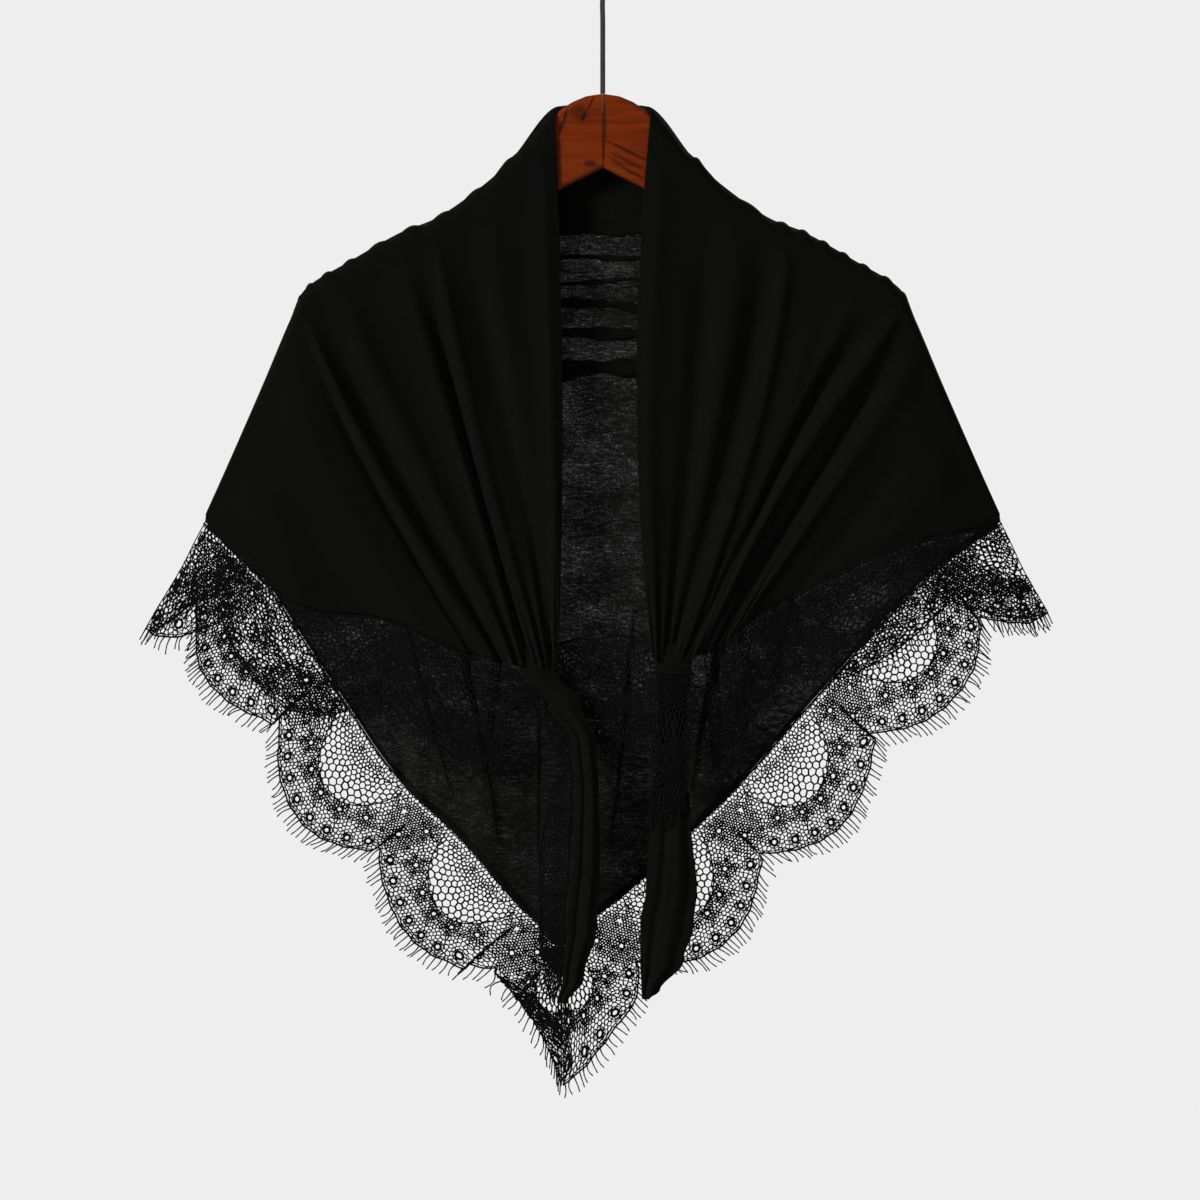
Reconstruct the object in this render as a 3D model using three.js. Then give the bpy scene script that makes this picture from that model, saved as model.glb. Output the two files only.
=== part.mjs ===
// A triangular jersey shawl with a scalloped lace edging, draped over a wooden clothes hanger.
// Its back hangs as a point, its two front ends are gathered and fall as tails over the back.
//
// Millimetres. X runs across the shoulders, Y runs to the back and Z is up.
// The origin is the seat of the hook, where a rail carries it. The garment is worked out in a
// group of its own, whose origin is the top of the wood at the centre: "drop" is the distance
// below that point, "out" the distance from the centre line, "forward" the distance to the front.
import * as THREE from "three";

// ---- driving sizes ----
const HOOK_DROP = 128; // seat of the hook down to the top of the wood
const HOOK_RADIUS = 20; // centre line of the wire around the rail
const WIRE_DIAMETER = 3.8;
const STEM_STRAIGHT = 70; // straight wire above the wood

const ARM_LENGTH = 222; // centre joint to the end of an arm
const ARM_THICK = 13;
const ARM_SWEEP = 8; // how far the ends of the arms come forward
const BLOCK_HALF_WIDTH = 36; // bare wood each side of the centre joint
const BLOCK_CORNER = 4; // rounding of the bare wood's edges

const JERSEY = 1.4; // wall of the jersey
const LACE = 1.2; // wall of the lace
const FRINGE = 1; // wall of the fringe's reach
const SEAM = 0.3; // gap between neighbouring pieces
const SLANT_SEAM = 0.7; // the same gap, measured along a strip that leaves its edge at a slant

const FRONT_STAND = 7.7; // front cloth's middle, ahead of the arms' middle
const BACK_STAND = 9.4; // back cloth's middle, behind the arms' middle
const FOLD_STAND = 1.6; // each layer's distance from the side fold at the lower corner
const RIDGE_HALF_GAP = 0.35; // from the middle plane to each layer's edge along the shoulder
const GATHER_STAND = 6; // how much further forward the gathered ends are
const FRONT_COLUMNS = 36;
const GATHER_SHARE = 15 / FRONT_COLUMNS; // share of a front's hem that is gathered into its tail

const SCALLOP_REPEAT = 119;
const SCALLOP_VALLEY = 46; // depth of the lace between two scallops
const SCALLOP_PEAK = 77; // depth of the lace at the middle of a scallop
const FRINGE_REACH = 13;
const POINT_REACH = 104; // lace below the point of the back, along its mitre

// ---- tables: one row for each section, from the neck to the lower side corner ----
const SHOULDER = [
  { out: 35, drop: 10 },
  { out: 70, drop: 52 },
  { out: 115, drop: 87 },
  { out: 147, drop: 101 },
  { out: 182, drop: 121 },
  { out: 214, drop: 141 },
  { out: 226, drop: 165 },
  { out: 245, drop: 210 },
  { out: 269, drop: 265 },
  { out: 286.5, drop: 304 },
];

// Where each line down a front panel passes half way, and where it ends at the hem.
const FRONT_LEFT = [
  { midOut: 29, midDrop: 217, hemOut: 33, hemDrop: 413 },
  { midOut: 58, midDrop: 232, hemOut: 38, hemDrop: 415.5 },
  { midOut: 90, midDrop: 250, hemOut: 46, hemDrop: 416 },
  { midOut: 102, midDrop: 258, hemOut: 57, hemDrop: 414 },
  { midOut: 130, midDrop: 268, hemOut: 70, hemDrop: 410 },
  { midOut: 156, midDrop: 280, hemOut: 86, hemDrop: 406 },
  { midOut: 172, midDrop: 284, hemOut: 106, hemDrop: 401 },
  { midOut: 206, midDrop: 297, hemOut: 158, hemDrop: 379 },
  { midOut: 247, midDrop: 317, hemOut: 222, hemDrop: 367 },
  { midOut: 286, midDrop: 307.5, hemOut: 285, hemDrop: 311 },
];
const FRONT_RIGHT = [
  { midOut: 24.5, midDrop: 217, hemOut: 36, hemDrop: 408 },
  { midOut: 60, midDrop: 235, hemOut: 44, hemDrop: 413 },
  { midOut: 104, midDrop: 242, hemOut: 54, hemDrop: 413 },
  { midOut: 124, midDrop: 249, hemOut: 63, hemDrop: 409 },
  { midOut: 140, midDrop: 256, hemOut: 76, hemDrop: 402 },
  { midOut: 161, midDrop: 265, hemOut: 92, hemDrop: 393 },
  { midOut: 178, midDrop: 272, hemOut: 108, hemDrop: 378 },
  { midOut: 209, midDrop: 284, hemOut: 158, hemDrop: 352 },
  { midOut: 247, midDrop: 298, hemOut: 212, hemDrop: 327 },
  { midOut: 285.5, midDrop: 307.5, hemOut: 285, hemDrop: 311 },
];

// Main folds: "at" and "width" are shares of the way from the neck to the side corner, and a
// positive "rise" is a ridge that stands forward, a negative one a trough.
const FOLDS_LEFT = [
  { at: 0.05, width: 0.03, rise: 2.4 },
  { at: 0.13, width: 0.04, rise: -2.2 },
  { at: 0.26, width: 0.04, rise: -3.4 },
  { at: 0.4, width: 0.06, rise: 2.8 },
  { at: 0.53, width: 0.03, rise: -2.8 },
  { at: 0.6, width: 0.03, rise: 3.2 },
  { at: 0.69, width: 0.05, rise: -3 },
  { at: 0.86, width: 0.06, rise: 2 },
];
const FOLDS_RIGHT = [
  { at: 0.05, width: 0.03, rise: 2.4 },
  { at: 0.12, width: 0.03, rise: -2.2 },
  { at: 0.23, width: 0.04, rise: -3.4 },
  { at: 0.34, width: 0.05, rise: 2.6 },
  { at: 0.48, width: 0.03, rise: -2.8 },
  { at: 0.56, width: 0.03, rise: 3.2 },
  { at: 0.66, width: 0.05, rise: -3 },
  { at: 0.84, width: 0.06, rise: 2 },
];

// Lower edge of the back below each row of SHOULDER, x positive on the right.
const LEG_LEFT = [
  { x: -45, drop: 600 },
  { x: -64, drop: 582 },
  { x: -90, drop: 551 },
  { x: -112, drop: 528 },
  { x: -139, drop: 503 },
  { x: -160, drop: 478 },
  { x: -180, drop: 448 },
  { x: -210, drop: 403 },
  { x: -247, drop: 348 },
  { x: -287.5, drop: 309.5 },
];
const LEG_RIGHT = [
  { x: -5, drop: 593 },
  { x: 22, drop: 572 },
  { x: 68, drop: 528 },
  { x: 97, drop: 500 },
  { x: 127, drop: 466 },
  { x: 150, drop: 440 },
  { x: 172, drop: 415 },
  { x: 205, drop: 378 },
  { x: 247, drop: 338 },
  { x: 287.5, drop: 309.5 },
];
const POINT_OF_BACK = { x: -30, drop: 614 };
const NECK_FOLD = { x: 0, drop: 12 };
const NECK_BAND = { halfWidth: 42, lowest: 102 };

// Swags across the back below the neck, and long folds down it.
const SWAGS = [
  { drop: 125, width: 9, rise: 2.4, reach: 150 },
  { drop: 152, width: 9, rise: 1.8, reach: 120 },
  { drop: 196, width: 12, rise: 2.6, reach: 190 },
];
const LONG_FOLDS = [
  { at: 0.24, width: 0.025, rise: 3.5 },
  { at: 0.36, width: 0.03, rise: -2.5 },
  { at: 0.66, width: 0.03, rise: -2.5 },
  { at: 0.77, width: 0.025, rise: 3.5 },
];

// Tails: left and right edge at each drop, and how far forward the strip hangs.
const TAIL_LEFT = [
  { drop: 416.8, left: -60, right: -34, forward: 14 },
  { drop: 440, left: -40, right: -16, forward: 14.5 },
  { drop: 470, left: -22, right: -5, forward: 15 },
  { drop: 500, left: -20, right: -3, forward: 15 },
  { drop: 550, left: -22, right: -2, forward: 14.5 },
  { drop: 600, left: -26, right: -4, forward: 14 },
  { drop: 640, left: -29, right: -14, forward: 13.5 },
  { drop: 657, left: -33, right: -26, forward: 13 },
];
const TAIL_RIGHT = [
  { drop: 413.7, left: 38, right: 64, forward: 14 },
  { drop: 440, left: 40, right: 61, forward: 14.5 },
  { drop: 480, left: 38, right: 60, forward: 15 },
  { drop: 530, left: 35, right: 64, forward: 15 },
  { drop: 575, left: 31, right: 68, forward: 14.5 },
  { drop: 600, left: 27, right: 65.5, forward: 14 },
  { drop: 627, left: 27, right: 58, forward: 13.5 },
  { drop: 648, left: 28, right: 41, forward: 13 },
  { drop: 654, left: 28.5, right: 33, forward: 13 },
];
// Outer edge of the lace beside the left tail.
const TAIL_LACE_LEFT = [
  { drop: 416.8, left: -62 },
  { drop: 442, left: -52 },
  { drop: 468, left: -38 },
  { drop: 486, left: -27 },
  { drop: 506, left: -39 },
  { drop: 550, left: -46 },
  { drop: 600, left: -46 },
  { drop: 640, left: -42 },
  { drop: 657, left: -38 },
];

// ---- helpers ----
const smoothstep = THREE.MathUtils.smoothstep;
const lerp = THREE.MathUtils.lerp;
const bump = (distance, width) => Math.exp(-((distance / width) ** 2));
const sweepAt = (x) => -ARM_SWEEP * Math.min(1, Math.abs(x) / ARM_LENGTH) ** 2;

// A point of the garment from its place in front view and its distance ahead of the arms' middle.
function place(x, drop, forward) {
  return new THREE.Vector3(x, sweepAt(x) - forward, -drop);
}

// A smooth line through rows of a table, read from one pair of its columns.
function lineThrough(rows, across, down) {
  return new THREE.SplineCurve(rows.map((row) => new THREE.Vector2(row[across], row[down])));
}

// A smooth value through the rows of a table, looked up by its drop.
function columnAt(rows, column, drop) {
  const next = rows.findIndex((row) => row.drop >= drop);
  const index = next < 0 ? rows.length - 1 : Math.max(1, next);
  const above = rows[index - 1];
  const below = rows[index];
  const share = THREE.MathUtils.clamp((drop - above.drop) / (below.drop - above.drop), 0, 1);
  return lerp(above[column], below[column], smoothstep(share, 0, 1));
}

function steps(count, from = 0, to = 1) {
  return Array.from({ length: count + 1 }, (_, index) => lerp(from, to, index / count));
}

// A closed body from its points and triangles, turned so that its faces point out.
function closedBody(points, triangles) {
  let volume = 0;
  for (const [a, b, c] of triangles) {
    volume += points[a].dot(new THREE.Vector3().crossVectors(points[b], points[c]));
  }
  const faces = volume < 0 ? triangles.map(([a, b, c]) => [a, c, b]) : triangles;
  const geometry = new THREE.BufferGeometry();
  geometry.setFromPoints(points);
  geometry.setIndex(faces.flat());
  geometry.computeVertexNormals();
  return geometry;
}

// The direction square to a grid of points at one of them.
function squareTo(grid, row, column) {
  const lastRow = grid.length - 1;
  const lastColumn = grid[0].length - 1;
  const down = grid[Math.min(row + 1, lastRow)][column].clone();
  down.sub(grid[Math.max(row - 1, 0)][column]);
  const across = grid[row][Math.min(column + 1, lastColumn)].clone();
  across.sub(grid[row][Math.max(column - 1, 0)]);
  return across.cross(down).normalize();
}

// Cloth: a wall of even thickness on a grid of points through its middle.
function wall(grid, thickness) {
  const rows = grid.length;
  const columns = grid[0].length;
  const points = [];
  for (const half of [thickness / 2, -thickness / 2]) {
    for (let row = 0; row < rows; row++) {
      for (let column = 0; column < columns; column++) {
        const square = squareTo(grid, row, column);
        points.push(grid[row][column].clone().addScaledVector(square, half));
      }
    }
  }
  const id = (side, row, column) => (side * rows + row) * columns + column;
  const triangles = [];
  const quad = (a, b, c, d) => triangles.push([a, b, c], [a, c, d]);
  for (let row = 0; row < rows - 1; row++) {
    for (let column = 0; column < columns - 1; column++) {
      quad(id(0, row, column), id(0, row + 1, column), id(0, row + 1, column + 1), id(0, row, column + 1));
      quad(id(1, row, column), id(1, row, column + 1), id(1, row + 1, column + 1), id(1, row + 1, column));
    }
    quad(id(0, row, 0), id(1, row, 0), id(1, row + 1, 0), id(0, row + 1, 0));
    const last = columns - 1;
    quad(id(0, row, last), id(0, row + 1, last), id(1, row + 1, last), id(1, row, last));
  }
  for (let column = 0; column < columns - 1; column++) {
    quad(id(0, 0, column), id(0, 0, column + 1), id(1, 0, column + 1), id(1, 0, column));
    const last = rows - 1;
    quad(id(0, last, column), id(1, last, column), id(1, last, column + 1), id(0, last, column + 1));
  }
  return closedBody(points, triangles);
}

// A solid through rings of equally many points, with flat ends.
function loft(rings) {
  const sides = rings[0].length;
  const points = rings.flat();
  const triangles = [];
  for (let ring = 0; ring < rings.length - 1; ring++) {
    for (let side = 0; side < sides; side++) {
      const next = (side + 1) % sides;
      const a = ring * sides + side;
      const b = ring * sides + next;
      triangles.push([a, b, b + sides], [a, b + sides, a + sides]);
    }
  }
  for (let side = 1; side < sides - 1; side++) {
    const end = (rings.length - 1) * sides;
    triangles.push([0, side + 1, side], [end, end + side, end + side + 1]);
  }
  return closedBody(points, triangles);
}

// ---- materials ----
const jersey = { color: 0x0d0d0b, roughness: 0.95, metalness: 0 };
const lace = { color: 0x121211, roughness: 0.9, metalness: 0 };
const wood = { color: 0x9a4a12, roughness: 0.35, metalness: 0 };
const wire = { color: 0x2a2a2c, roughness: 0.35, metalness: 0.9 };

function piece(name, geometry, look) {
  const mesh = new THREE.Mesh(geometry, new THREE.MeshStandardMaterial(look));
  mesh.name = name;
  return mesh;
}

// ---- hanger ----
const shoulderLine = lineThrough(SHOULDER, "out", "drop");
const shoulderPoints = shoulderLine.getPoints(180);

// Drop of the shoulder line at a distance from the centre.
function shoulderDrop(out) {
  const next = shoulderPoints.findIndex((point) => point.x >= out);
  const b = shoulderPoints[Math.max(1, next)];
  const a = shoulderPoints[Math.max(1, next) - 1];
  return lerp(a.y, b.y, (out - a.x) / (b.x - a.x));
}

// Top of the wood: a low arch where it is bare, and just under the cloth where it is covered.
function armTop(out) {
  const arch = 0.0125 * out * out;
  const slope = shoulderDrop(Math.max(out, 40) + 2) - shoulderDrop(Math.max(out, 40) - 2);
  const under = (JERSEY / 2 + 0.45) * Math.hypot(1, slope / 4);
  const covered = shoulderDrop(Math.max(out, 36)) + under;
  return lerp(arch, covered, smoothstep(out, BLOCK_HALF_WIDTH, BLOCK_HALF_WIDTH + 14));
}

const armBottom = (out) => 53.5 + 0.5 * out;

// A section of an arm: round along the top, softly rounded along the bottom.
function armRing(side, out, top, bottom) {
  const half = ARM_THICK / 2;
  const topCorner = lerp(BLOCK_CORNER, half, smoothstep(out, BLOCK_HALF_WIDTH, BLOCK_HALF_WIDTH + 12));
  const corners = [
    { y: half - topCorner, drop: top + topCorner, radius: topCorner, from: 0 },
    { y: topCorner - half, drop: top + topCorner, radius: topCorner, from: 90 },
    { y: BLOCK_CORNER - half, drop: bottom - BLOCK_CORNER, radius: BLOCK_CORNER, from: 180 },
    { y: half - BLOCK_CORNER, drop: bottom - BLOCK_CORNER, radius: BLOCK_CORNER, from: 270 },
  ];
  return corners.flatMap((corner) =>
    steps(3, corner.from + 3, corner.from + 87).map((degrees) => {
      const angle = THREE.MathUtils.degToRad(degrees);
      const y = corner.y + corner.radius * Math.cos(angle);
      const drop = corner.drop - corner.radius * Math.sin(angle);
      return place(side * out, drop, -y);
    }),
  );
}

function arm(side) {
  const outs = [SEAM / 2, 12, 22, 30, 36, 42, 48, 55, 63, 71, 80, 92, 105, 120, 136, 152, 170, 188, 203];
  const rings = outs.map((out) => armRing(side, out, armTop(out), armBottom(out)));
  // The end of the arm is round in front view.
  for (const share of [0.5, 0.8, 0.95]) {
    const out = lerp(203, ARM_LENGTH - 2, share);
    const inset = 9 * (1 - Math.sqrt(1 - share * share));
    rings.push(armRing(side, out, armTop(out) + inset, armBottom(203) + 4 * share - inset));
  }
  return loft(rings);
}

// Straight stem, an easy bend to one side, and most of a turn around the rail.
function hook() {
  const wireTop = WIRE_DIAMETER / 2;
  const stemFoot = -HOOK_DROP + SEAM;
  const stemHead = -HOOK_DROP + STEM_STRAIGHT;
  const centre = wireTop - HOOK_RADIUS;
  const points = steps(4, stemFoot, stemHead).map((z) => new THREE.Vector3(0, 0, z));
  points.push(new THREE.Vector3(2, 0, stemHead + 9));
  points.push(new THREE.Vector3(8.5, 0, stemHead + 19));
  for (const degrees of steps(11, -38, 212)) {
    const angle = THREE.MathUtils.degToRad(degrees);
    points.push(new THREE.Vector3(HOOK_RADIUS * Math.cos(angle), 0, centre + HOOK_RADIUS * Math.sin(angle)));
  }
  const section = new THREE.Shape(
    steps(9, 0, 0.9 * 2 * Math.PI).map(
      (angle) => new THREE.Vector2(wireTop * Math.cos(angle), wireTop * Math.sin(angle)),
    ),
  );
  const route = new THREE.CatmullRomCurve3(points, false, "centripetal");
  return new THREE.ExtrudeGeometry(section, { steps: 48, bevelEnabled: false, extrudePath: route });
}

// ---- front panels ----
// One front panel: its lines run from the shoulder line or the side fold down to its hem.
function frontPanel(side, rows, folds) {
  const mid = lineThrough(rows, "midOut", "midDrop");
  const hem = lineThrough(rows, "hemOut", "hemDrop");
  const tip = 6 / 9; // row of the shoulder's end in the tables

  function pointAt(share, down) {
    const top = shoulderLine.getPoint(share);
    const middle = mid.getPoint(share);
    const foot = hem.getPoint(share);
    const x = top.x * (1 - down) * (1 - 2 * down) + middle.x * 4 * down * (1 - down)
      + foot.x * down * (2 * down - 1);
    const drop = top.y * (1 - down) * (1 - 2 * down) + middle.y * 4 * down * (1 - down)
      + foot.y * down * (2 * down - 1);
    const length = top.distanceTo(foot);
    const stand = lerp(FRONT_STAND, FOLD_STAND, smoothstep(share, tip, 1));
    const turn = stand / length;
    if (down < turn) {
      const angle = Math.acos(1 - down / turn);
      return place(side * x, drop, RIDGE_HALF_GAP + stand * Math.sin(angle));
    }
    const roomy = Math.min(1, length / 70);
    const level = (FRONT_STAND - stand) * roomy * smoothstep(down, 0, 1);
    const bunched = 1 - smoothstep(share, GATHER_SHARE, tip + 0.15);
    const gathered = GATHER_STAND * smoothstep(down, 0.35, 1) * bunched;
    const grown = smoothstep(down, 0.26, 0.6) * lerp(1, 0.62, smoothstep(down, 0.7, 1)) * roomy;
    let relief = 0;
    for (const fold of folds) relief += fold.rise * bump(share - fold.at, fold.width) * grown;
    return place(side * x, drop, RIDGE_HALF_GAP + stand + level + gathered + relief);
  }

  const columns = steps(FRONT_COLUMNS);
  const turnAngles = [0, 30, 60, 90].map(THREE.MathUtils.degToRad);
  const grid = [];
  const downs = [...turnAngles.map((angle) => ({ angle })), ...steps(8).slice(1).map((level) => ({ level }))];
  for (const row of downs) {
    grid.push(
      columns.map((share) => {
        const length = shoulderLine.getPoint(share).distanceTo(hem.getPoint(share));
        const turn = lerp(FRONT_STAND, FOLD_STAND, smoothstep(share, tip, 1)) / length;
        const down = row.level === undefined ? turn * (1 - Math.cos(row.angle)) : lerp(turn, 1, row.level);
        return pointAt(share, Math.min(1, down));
      }),
    );
  }
  return { pointAt, geometry: wall(grid, JERSEY) };
}

// ---- back panel ----
const backTopRows = [
  ...SHOULDER.map((row) => ({ x: -row.out, drop: row.drop })).reverse(),
  NECK_FOLD,
  ...SHOULDER.map((row) => ({ x: row.out, drop: row.drop })),
];
const backTop = lineThrough(backTopRows, "x", "drop");
const backHem = lineThrough([...[...LEG_LEFT].reverse(), POINT_OF_BACK, ...LEG_RIGHT], "x", "drop");

// Columns of the back, from a side corner (0) to the middle (0.5). Two lie close together at the
// neck, where the cloth turns from behind the wood to over it.
const HALF_BACK = [...steps(15, 0, 0.45), 0.456, 0.478, 0.5];

// A point of the back: "across" runs from the left side corner (0) to the right one (1).
function backAt(across, down) {
  const top = backTop.getPoint(across);
  const foot = backHem.getPoint(across);
  const fromCentre = Math.abs(across - 0.5) * 2; // 0 at the neck, 1 at a side corner
  const stand = lerp(BACK_STAND, FOLD_STAND, smoothstep(fromCentre, 0.7, 1));
  const length = top.distanceTo(foot);
  const turn = stand / length;
  const x = lerp(top.x, foot.x, down);
  const drop = lerp(top.y, foot.y, down);
  const overShoulder = smoothstep(Math.abs(top.x), 31, 35); // behind the neck it only stands up
  if (down < turn) {
    const angle = Math.acos(1 - down / turn);
    const lifted = lerp(stand, stand * Math.sin(angle), overShoulder);
    return place(x, drop, -RIDGE_HALF_GAP - lifted);
  }
  const roomy = Math.min(1, length / 90);
  let relief = 0;
  for (const swag of SWAGS) {
    relief += swag.rise * bump(drop - swag.drop, swag.width) * bump(x, swag.reach);
  }
  for (const fold of LONG_FOLDS) {
    relief += fold.rise * bump(across - fold.at, fold.width) * smoothstep(down, 0.3, 0.75) * roomy;
  }
  const level = (BACK_STAND - stand) * roomy * smoothstep(down, 0, 1);
  return place(x, drop, -RIDGE_HALF_GAP - stand - level - relief);
}

function backPanel() {
  const columns = [...HALF_BACK, ...HALF_BACK.slice(0, -1).reverse().map((across) => 1 - across)];
  const turns = [0, 0.3, 0.65, 1].map((share) => ({ angle: (share * Math.PI) / 2 }));
  const swagged = [0.1, 0.165, 0.19, 0.22, 0.26, 0.3, 0.345].map((level) => ({ level }));
  const lower = steps(5, 0.345, 1).slice(1).map((level) => ({ level }));
  const rows = [...turns, ...swagged, ...lower];
  const grid = rows.map((row) =>
    columns.map((across) => {
      const fromCentre = Math.abs(across - 0.5) * 2;
      const stand = lerp(BACK_STAND, FOLD_STAND, smoothstep(fromCentre, 0.7, 1));
      const turn = stand / backTop.getPoint(across).distanceTo(backHem.getPoint(across));
      const down = row.level === undefined ? turn * (1 - Math.cos(row.angle)) : lerp(turn, 1, row.level);
      return backAt(across, Math.min(1, down));
    }),
  );
  return wall(grid, JERSEY);
}

// The long edge turned under behind the neck: it lies on the inside of the back.
function neckBand() {
  const inset = JERSEY / 2 + SEAM + LACE / 2;
  const grid = steps(4).map((level) =>
    steps(8, -1, 1).map((share) => {
      const across = 0.5 + share * 0.0475;
      const top = backTop.getPoint(across);
      const foot = backHem.getPoint(across);
      const first = top.y + 3 + 16 * share * share; // it starts below the turn over the shoulder
      const drop = lerp(first, NECK_BAND.lowest, level);
      const x = lerp(-NECK_BAND.halfWidth, NECK_BAND.halfWidth, (share + 1) / 2) * 0.8;
      const point = backAt(across, Math.max(0.02, (drop - top.y) / (foot.y - top.y)));
      return new THREE.Vector3(x, sweepAt(x) + (point.y - sweepAt(point.x)) - inset, -drop);
    }),
  );
  return wall(grid, LACE);
}

// ---- lace ----
// Depth of the lace at a distance along its edge, with pointed valleys between the scallops.
function scallop(along, firstValley) {
  const turn = ((along - firstValley) / SCALLOP_REPEAT) * Math.PI;
  return lerp(SCALLOP_VALLEY, SCALLOP_PEAK, Math.abs(Math.sin(turn)) ** 0.75);
}

// A strip of lace and its fringe. Each column has its root on the cloth's edge, a lean from
// straight down towards the outside, a depth, and the forward place of its root and its foot.
function laceStrip(columns, rows) {
  const strip = (from, to, count) =>
    steps(count).map((level) =>
      columns.map((column) => {
        const reach = lerp(from(column), to(column), level);
        const angle = THREE.MathUtils.degToRad(column.lean);
        const share = Math.min(1.1, reach / column.depth);
        const x = column.root.x + column.side * reach * Math.sin(angle);
        const drop = column.root.drop + reach * Math.cos(angle);
        return place(x, drop, lerp(column.root.forward, column.footForward, share));
      }),
    );
  const laceGrid = strip(() => SLANT_SEAM, (column) => column.depth, rows);
  const fringeGrid = strip((column) => column.depth + SEAM, (column) => column.depth + FRINGE_REACH, 1);
  return { lace: wall(laceGrid, LACE), fringe: wall(fringeGrid, FRINGE) };
}

// Lace on one leg of the back, from the side corner to the point, where it is mitred.
function backLace(side, sizes) {
  const fanSteps = 5; // columns that turn the point
  const columns = [];
  let along = 0;
  let last = null;
  const alongLeg = HALF_BACK.map((across) => ({ across, fan: 0 }));
  const aroundPoint = steps(fanSteps).slice(1).map((fan) => ({ across: 0.5, fan }));
  for (const { across, fan } of [...alongLeg, ...aroundPoint]) {
    const root = backAt(side < 0 ? across : 1 - across, 1);
    if (last) along += root.distanceTo(last);
    last = root;
    const forward = sweepAt(root.x) - root.y;
    const rippled = smoothstep(along, 20, 90) * (1 - fan);
    const onLeg = lerp(sizes.foldLean, sizes.legLean, smoothstep(along, 0, 90));
    const legDepth = scallop(along, sizes.firstValley);
    const depth = lerp(sizes.foldDepth, legDepth, smoothstep(along, 0, 30));
    columns.push({
      side,
      root: { x: root.x + (side * SEAM * fan) / 2, drop: -root.z, forward },
      lean: onLeg * (1 - fan),
      depth: lerp(depth, POINT_REACH, fan ** 1.6),
      footForward: forward + 2.2 * Math.sin((along / SCALLOP_REPEAT) * 2 * Math.PI) * rippled,
    });
  }
  return laceStrip(columns, 3);
}

// Lace on the hem of one front, from the side fold to the gathers. It lies over the back.
function frontLace(side, panel, sizes) {
  const columns = [];
  let along = 0;
  let last = null;
  for (const share of steps(FRONT_COLUMNS * (1 - GATHER_SHARE), 1, GATHER_SHARE)) {
    const root = panel.pointAt(share, 1);
    if (last) along += root.distanceTo(last);
    last = root;
    const forward = sweepAt(root.x) - root.y;
    columns.push({
      side,
      root: { x: root.x, drop: -root.z, forward },
      lean: lerp(sizes.foldLean, sizes.hemLean, smoothstep(along, 0, 110)),
      depth: lerp(sizes.foldDepth, scallop(along, sizes.firstValley), smoothstep(along, 0, 40)),
      footForward: lerp(FOLD_STAND + SEAM / 2, 3.5, smoothstep(along, 0, 60)),
    });
  }
  return laceStrip(columns, 2);
}

// ---- tails ----
// A tail: a folded strip of jersey, its middle standing a little forward of its edges.
const tailDrops = (rows) => steps(12, rows[0].drop, rows[rows.length - 1].drop);

function tail(rows) {
  const grid = tailDrops(rows).map((drop) =>
    steps(6).map((share) => {
      const left = columnAt(rows, "left", drop);
      const right = columnAt(rows, "right", drop);
      const round = 1.6 * Math.sin(Math.PI * share);
      return place(lerp(left, right, share), drop, columnAt(rows, "forward", drop) + round);
    }),
  );
  return wall(grid, JERSEY);
}

// Lace along the left edge of the left tail, with its fringe.
function tailLaceLeft() {
  const strip = (from, to, count, thickness) =>
    wall(
      tailDrops(TAIL_LEFT).map((drop) =>
        steps(count).map((share) => {
          const inner = columnAt(TAIL_LEFT, "left", drop) - SLANT_SEAM;
          const outer = columnAt(TAIL_LACE_LEFT, "left", drop);
          const x = lerp(from(inner, outer), to(inner, outer), share);
          const forward = columnAt(TAIL_LEFT, "forward", drop) + 0.12 * Math.min(10, inner - x);
          return place(x, drop, forward);
        }),
      ),
      thickness,
    );
  return {
    lace: strip((inner) => inner, (inner, outer) => outer, 3, LACE),
    fringe: strip((inner, outer) => outer - SEAM, (inner, outer) => outer - FRINGE_REACH, 1, FRINGE),
  };
}

// The end of the right front's lace falls from the gathers over the top of the right tail.
function tailLaceRight() {
  const top = { left: 37, right: 66, drop: 417 };
  const foot = { left: 33, leftDrop: 519, right: 62, rightDrop: 501 };
  const strip = (from, to, count, thickness) =>
    wall(
      steps(count).map((level) =>
        steps(8).map((share) => {
          const bow = 9 * Math.sin(Math.PI * share);
          const footDrop = lerp(foot.leftDrop, foot.rightDrop, share) + bow;
          const drop = lerp(from(footDrop), to(footDrop), level);
          const down = (drop - top.drop) / (footDrop - top.drop);
          const x = lerp(lerp(top.left, top.right, share), lerp(foot.left, foot.right, share), down);
          const lifted = 1.6 * Math.sin(Math.PI * share);
          return place(x, drop, 14 + JERSEY / 2 + SEAM + LACE / 2 + lifted + 1.6 * Math.min(1, down));
        }),
      ),
      thickness,
    );
  return {
    lace: strip(() => top.drop, (footDrop) => footDrop, 5, LACE),
    fringe: strip((footDrop) => footDrop + SEAM, (footDrop) => footDrop + FRINGE_REACH, 1, FRINGE),
  };
}

// Lace that crosses from one gather to the other, behind both.
function crossingLace() {
  const top = { half: 46, centre: 4, drop: 393 };
  const strip = (from, to, count, thickness) =>
    wall(
      steps(count).map((level) =>
        steps(12, -1, 1).map((share) => {
          const footDrop = top.drop + 76 - 20 * share * share;
          const drop = lerp(from(footDrop), to(footDrop), level);
          const forward = lerp(5, 10.9, smoothstep(Math.abs(share), 0.3, 1));
          return place(top.centre + top.half * share, drop, forward);
        }),
      ),
      thickness,
    );
  return {
    lace: strip(() => top.drop, (footDrop) => footDrop, 4, LACE),
    fringe: strip((footDrop) => footDrop + SEAM, (footDrop) => footDrop + FRINGE_REACH, 1, FRINGE),
  };
}

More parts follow.
